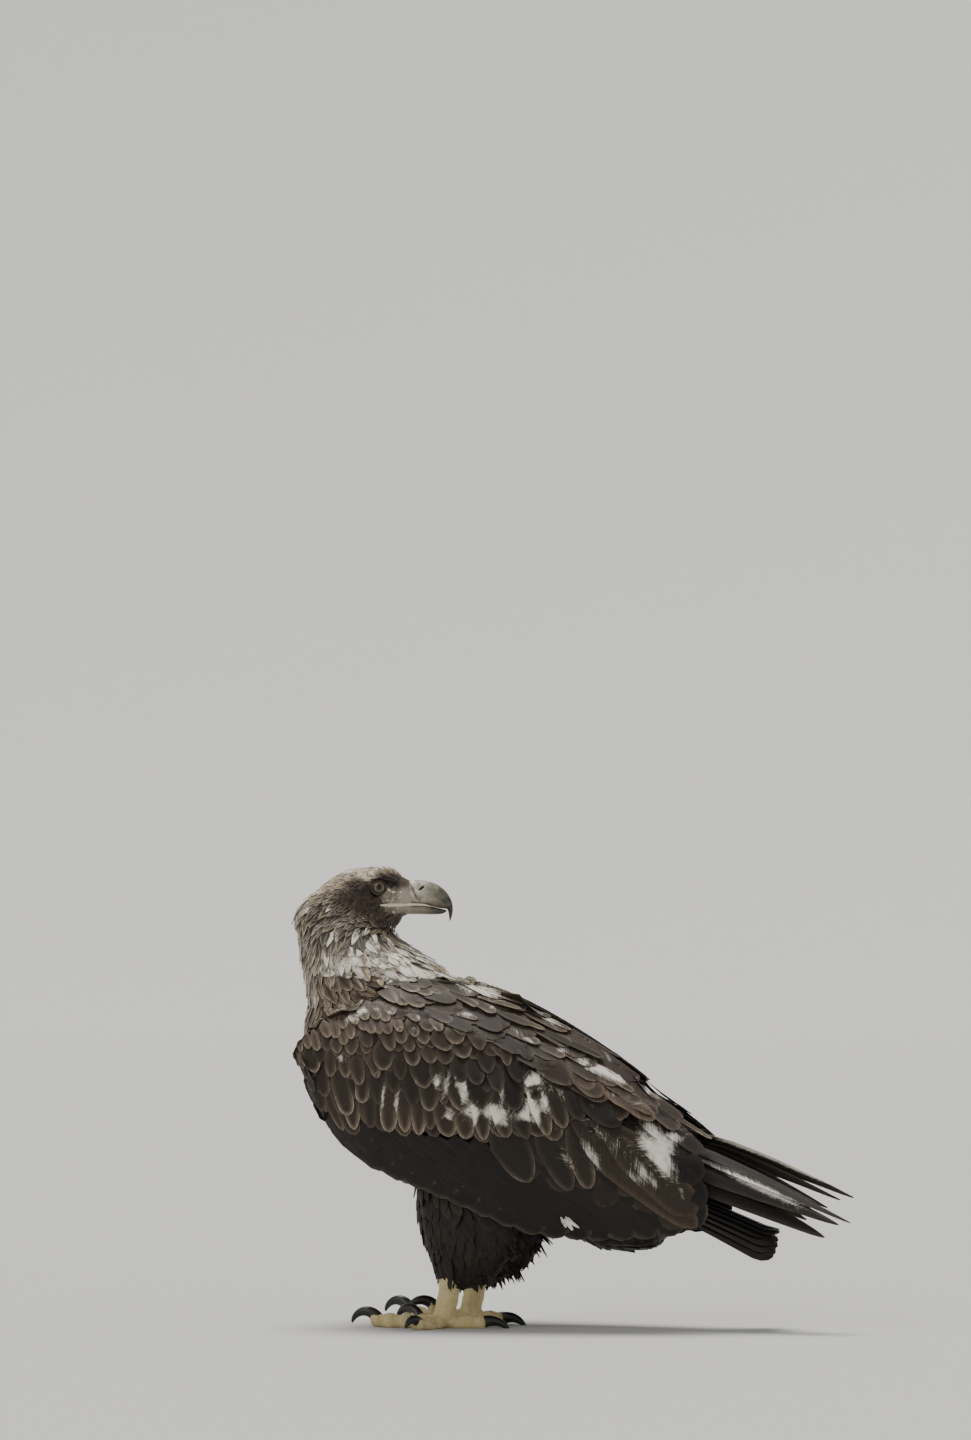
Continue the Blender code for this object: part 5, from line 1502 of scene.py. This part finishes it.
SHOWN_CUT = pattern(6, (0, 0.12, 0.26, 0.4, 0.52, 0.63, 0.73, 0.82, 0.89, 0.94, 0.98, 1))
FLIGHT = pattern(4, (0, 0.15, 0.3, 0.45, 0.6, 0.72, 0.82, 0.9, 0.95, 0.985, 1))
SECONDARY_COUNT = 15
SECONDARIES_FROM, SECONDARIES_TO = -52, 292
LONGEST = 168
DARK, BROWN = "1f1914", "463a2e"
for name, side in SIDES:
    rng = np.random.default_rng(40 + side)
    rows = []
    for k in range(SECONDARY_COUNT):
        share = k / (SECONDARY_COUNT - 1)
        y = SECONDARIES_FROM + (SECONDARIES_TO - SECONDARIES_FROM) * share
        z = blend(WING_LOW_EDGE, y)[0] + 3.5
        way = falling(34 + 8 * share)
        long = min(LONGEST, (y + 150) / way[1])
        tone = srgb(DARK) * math.exp(rng.normal(0, 0.16))
        rows.append(feather(*touch(side, y, z), way, long, 21, 5.6 - share, 2.8, tone, 0.16))
    made = wing_piece("flight_inner_" + name, side, rows, FLIGHT, 10, "flight_feathers",
                      roll=0.06, thick=0.7, camber=0.1)
    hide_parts("secondaries_" + name)

    rng = np.random.default_rng(50 + side)
    rows = []
    for row in COVERT_ROWS:
        rows += row_of(side, *row)
    wing_piece("coverts_" + name, side, rows, COVERT, 5, "plumage_brown",
               roll=0.09, thick=0.4, camber=0.06, pointed=0.3)

    rng = np.random.default_rng(60 + side)
    rows = []
    for group, root, tip, colour in ((INNER_COVERTS, 5.0, 1.2, "3a2e25"), (TERTIALS, 5.5, 0.6, "43372c")):
        for k, ((y, z), long, half, fall) in enumerate(group):
            tone = srgb(colour) * (0.6 if y < 280 else 0.16) * math.exp(rng.normal(0, 0.12))
            lies_at = (*touch(side, y, z), falling(fall))
            depth = tip + 1.3 - 0.1 * k
            rows.append(feather(*lies_at, long, half, root + 2, depth, tone, 0.03))
    wing_piece("tertials_" + name, side, rows, FLIGHT, 10, "plumage_brown",
               roll=0.05, thick=0.6, camber=0.12)

    rng = np.random.default_rng(70 + side)
    rows = []
    for line, *sizes in SCAPULAR_ROWS:
        rows += row_of(side, [(y, z - RIGHT_LOWER * (side < 0)) for y, z in line], *sizes)
    wing_piece("scapulars_" + name, side, rows, COVERT, 5, "plumage_mantle",
               roll=0.09, thick=0.45, camber=0.06)

    rng = np.random.default_rng(80 + side)
    rows, soft = [], []
    for group, tip, root, table in SHOWN:
        for x, y, z, back_x, back_y, back_z, half, light, fringe in table:
            if side < 0 and x < RIGHT_INNER:
                continue
            at = np.array([x * side, y, z]) + (rng.normal(0, 2.5, 3) if side < 0 else 0)
            run = at - np.array([back_x * side, back_y, back_z])
            hit, normal, _, _ = form_tree.find_nearest(Vector(at))
            white = {"mantle": rng.uniform(0.5, 0.95), "spot": 0.7}.get(group, 0)
            depth = tip + rng.normal(0, 0.15)
            tone = srgb(BROWN) * light**1.3 * math.exp(rng.normal(0, 0.08))
            row = feather(hit, normal, unit(run), np.linalg.norm(run), half, root, depth, tone, fringe, white)
            (soft if group == "mantle" else rows).append(row)
    shapes = rng.uniform(0.15, 0.6, len(rows))
    wing_piece("shown_" + name, side, rows, SHOWN_CUT, 11, "plumage_mantle",
               roll=0.10, thick=0.45, camber=0.05, pointed=shapes, bend=rng.normal(0, 0.12, len(rows)))
    wing_piece("mantle_" + name, side, soft, SHOWN_CUT, 11, "plumage_mantle", roll=0.03, thick=0.3,
               camber=0.06, pointed=rng.uniform(0.4, 0.8, len(soft)), bend=rng.normal(0, 0.2, len(soft)))

# ------------------------------------------------------------------ primaries
# The long stiff flight feathers of the hand, their tips crossing behind the body. Each is one thick shaft
# with a narrow outer and a broad inner vane, and they fan a little, edge over edge.
PRIMARIES = {
    "left": [
        ((40, 256, 178), (21, 421, 107), 30, 26),
        ((36, 256, 187), (18, 436, 121), 26, 32),
        ((31, 256, 195), (14, 420, 128), 24, 38),
        ((27, 256, 202), (12, 448, 123), 18, 50),
        ((22, 256, 208), (8, 412, 142), 16, 55),
    ],
    "right": [
        ((40, 256, 183), (24, 388, 124), 28, 26),
        ((36, 256, 192), (20, 402, 131), 26, 30),
        ((31, 256, 200), (17, 414, 138), 24, 36),
        ((26, 256, 206), (12, 430, 147), 22, 42),
        ((21, 256, 214), (9, 446, 150), 24, 40),
    ],
}
ARCH = {"left": 0.012, "right": 0.022}  # how far each feather bows up, as a share of its length
OVERLAP = 45.0  # how far each runs in under the tertials


def row_map(count):
    """Places of a few large feathers in one line across the baking map."""
    return np.c_[(np.arange(count) + 0.2) / count, np.full(count, 0.5)]


for name, side in SIDES:
    along = np.linspace(0, 1, 12)[:, None]
    middles, ups, aheads, lengths, halves = [], [], [], [], []
    for root, tip, width, roll in PRIMARIES[name]:
        root, tip = np.array(root, float) * [side, 1, 1], np.array(tip, float) * [side, 1, 1]
        way = unit(tip - root)
        root = root - way * OVERLAP
        lean = math.radians(roll)
        hang = np.array([side * math.sin(lean), 0, -math.cos(lean)])
        out = unit(np.cross(unit(hang - way * (hang @ way)), way)) * side
        long = np.linalg.norm(tip - root)
        middles.append(root + (tip - root) * along + UP * ARCH[name] * long * np.sin(math.pi * along))
        ups.append(np.repeat([out * np.sign(out[0] * side)], len(along), 0))
        aheads.append(np.repeat([way], len(along), 0))
        lengths.append(long)
        halves.append(width / 2)
    laid = (np.array(middles), np.array(ups), np.array(aheads))
    colours = np.outer(np.linspace(0.8, 1.2, len(lengths)), srgb(DARK))
    # Their pale streaks along the top edges are painted sheen.
    made = feathers("primaries_" + name + "_vanes", SHOWN_CUT, laid, lengths, halves, 0, 0, colours,
                    0.03, 0.12, row_map(len(lengths)), roll=0.04 * side, thick=0.9, camber=0.1,
                    pointed=0.85, white_and_sheen_at=wing_white_and_sheen, patch=0.12)
    paint(made, vane_finish)
    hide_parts("primaries_" + name)

# ------------------------------------------------------------------ tail
# Twelve broad tail feathers of keratin, nearly closed into an arched fan, the middle pair on top and each of
# the others tucked under its inner neighbour.
TAIL_ROOT = np.array([0.0, 190.0, 0.0])
TAIL_YAW = math.radians(13)
TAIL_LONG = 167
# Along the tail: height of its ridge, half width, droop of the edges, thickness.
TAIL = [(0, 174, 26, 46, 12), (50, 154, 35, 50, 9), (110, 131, 45, 45, 6), (158, 112, 50, 41, 3.4)]
TAIL_FEATHERS = 12
SHORT_PAIR = (3, 8)  # still growing, after the moult
along = np.array([-math.sin(TAIL_YAW), math.cos(TAIL_YAW), 0])
aside = np.array([math.cos(TAIL_YAW), math.sin(TAIL_YAW), 0])
fan = (2 * np.arange(TAIL_FEATHERS) + 1 - TAIL_FEATHERS) / TAIL_FEATHERS  # -1 to 1 across the tail
rng = np.random.default_rng(90)
middles, ups, aheads, lengths = [], [], [], []
for k, v in enumerate(fan):
    long = TAIL_LONG - 7 * v * v - (9 if k in SHORT_PAIR else 0) + rng.uniform(-1.5, 1.5)
    line = []
    for share in np.linspace(0, 1, 13):
        ridge, half, droop, thick = blend(TAIL, min(share * long, TAIL[-1][0]))
        lateral = v * (0.35 + 0.5 * share) * half * 1.02
        sunk = (1.5 + 2.2 * abs(v)) * (1 - 0.5 * share)
        height = ridge - droop * abs(lateral / half) ** 1.6 + thick / 2 - sunk
        line.append(TAIL_ROOT + along * share * long + aside * lateral + UP * height)
    ahead = unit(np.gradient(np.array(line), axis=0))
    up = unit(UP + aside * (0.9 * v))
    middles.append(line)
    ups.append(unit(up - ahead * (ahead @ up)[:, None]))
    aheads.append(ahead)
    lengths.append(long)
laid = (np.array(middles), np.array(ups), np.array(aheads))
colours = np.array([srgb("15110e") * math.exp(rng.normal(0, 0.1)) for _ in fan])
made = feathers("tail_vanes", FLIGHT, laid, lengths, 14, 0, 0, colours, 0.0, 0.0, row_map(TAIL_FEATHERS),
                roll=-0.03 * np.sign(fan), thick=0.5, camber=0.06, patch=0.07)
paint(made, vane_finish)
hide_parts("tail")

# ------------------------------------------------------------------ floor and light
# A plain floor of pale matt paper that sweeps up far off, all round. A soft key light stands overhead and a
# little behind, a weaker fill comes from the camera's left, and the sky is an even grey.
FLAT_FOR = 14.0  # metres all round, before the floor sweeps up like a paper roll
floor_finish, tree, shader = finish_of("matt_paper", Roughness=0.9)
surface(tree, shader, mix(tree, (noise(tree, 300.0, 2.0), "Fac"), "c9c8c5", "d1d0cd"))
bpy.ops.mesh.primitive_grid_add(x_subdivisions=90, y_subdivisions=90, size=64)
floor = bpy.context.object
floor.name = "floor"
for corner in floor.data.vertices:
    corner.co.z = max(0.0, math.hypot(corner.co.x, corner.co.y) - FLAT_FOR) ** 2 / (2 * FLAT_FOR)
floor.data.shade_smooth()
floor.data.materials.append(floor_finish)


def soft_sun(name, toward, strength, spread, tint):
    """An even soft light from a distance; toward points from the bird to the light."""
    bpy.ops.object.light_add(type="SUN", location=(0, 0, 3))
    made = bpy.context.object
    made.name = name
    made.rotation_euler = (-Vector(toward)).to_track_quat("-Z", "Y").to_euler()
    made.data.energy = strength
    made.data.angle = math.radians(spread)
    made.data.color = tint


soft_sun("key_light", -VIEW_RIGHT * 0.12 - VIEW_BACK * 0.18 + UP * 0.97, 3.4, 30, (1.0, 0.985, 0.96))
soft_sun("fill_light", -VIEW_RIGHT * 0.75 + VIEW_BACK * 0.55 + UP * 0.38, 1.7, 50, (0.96, 0.98, 1.0))
world = bpy.data.worlds.new("studio")
bpy.context.scene.world = world
world.use_nodes = True
sky = world.node_tree.nodes["Background"]
sky.inputs["Color"].default_value = (0.62, 0.63, 0.65, 1)
sky.inputs["Strength"].default_value = 0.32
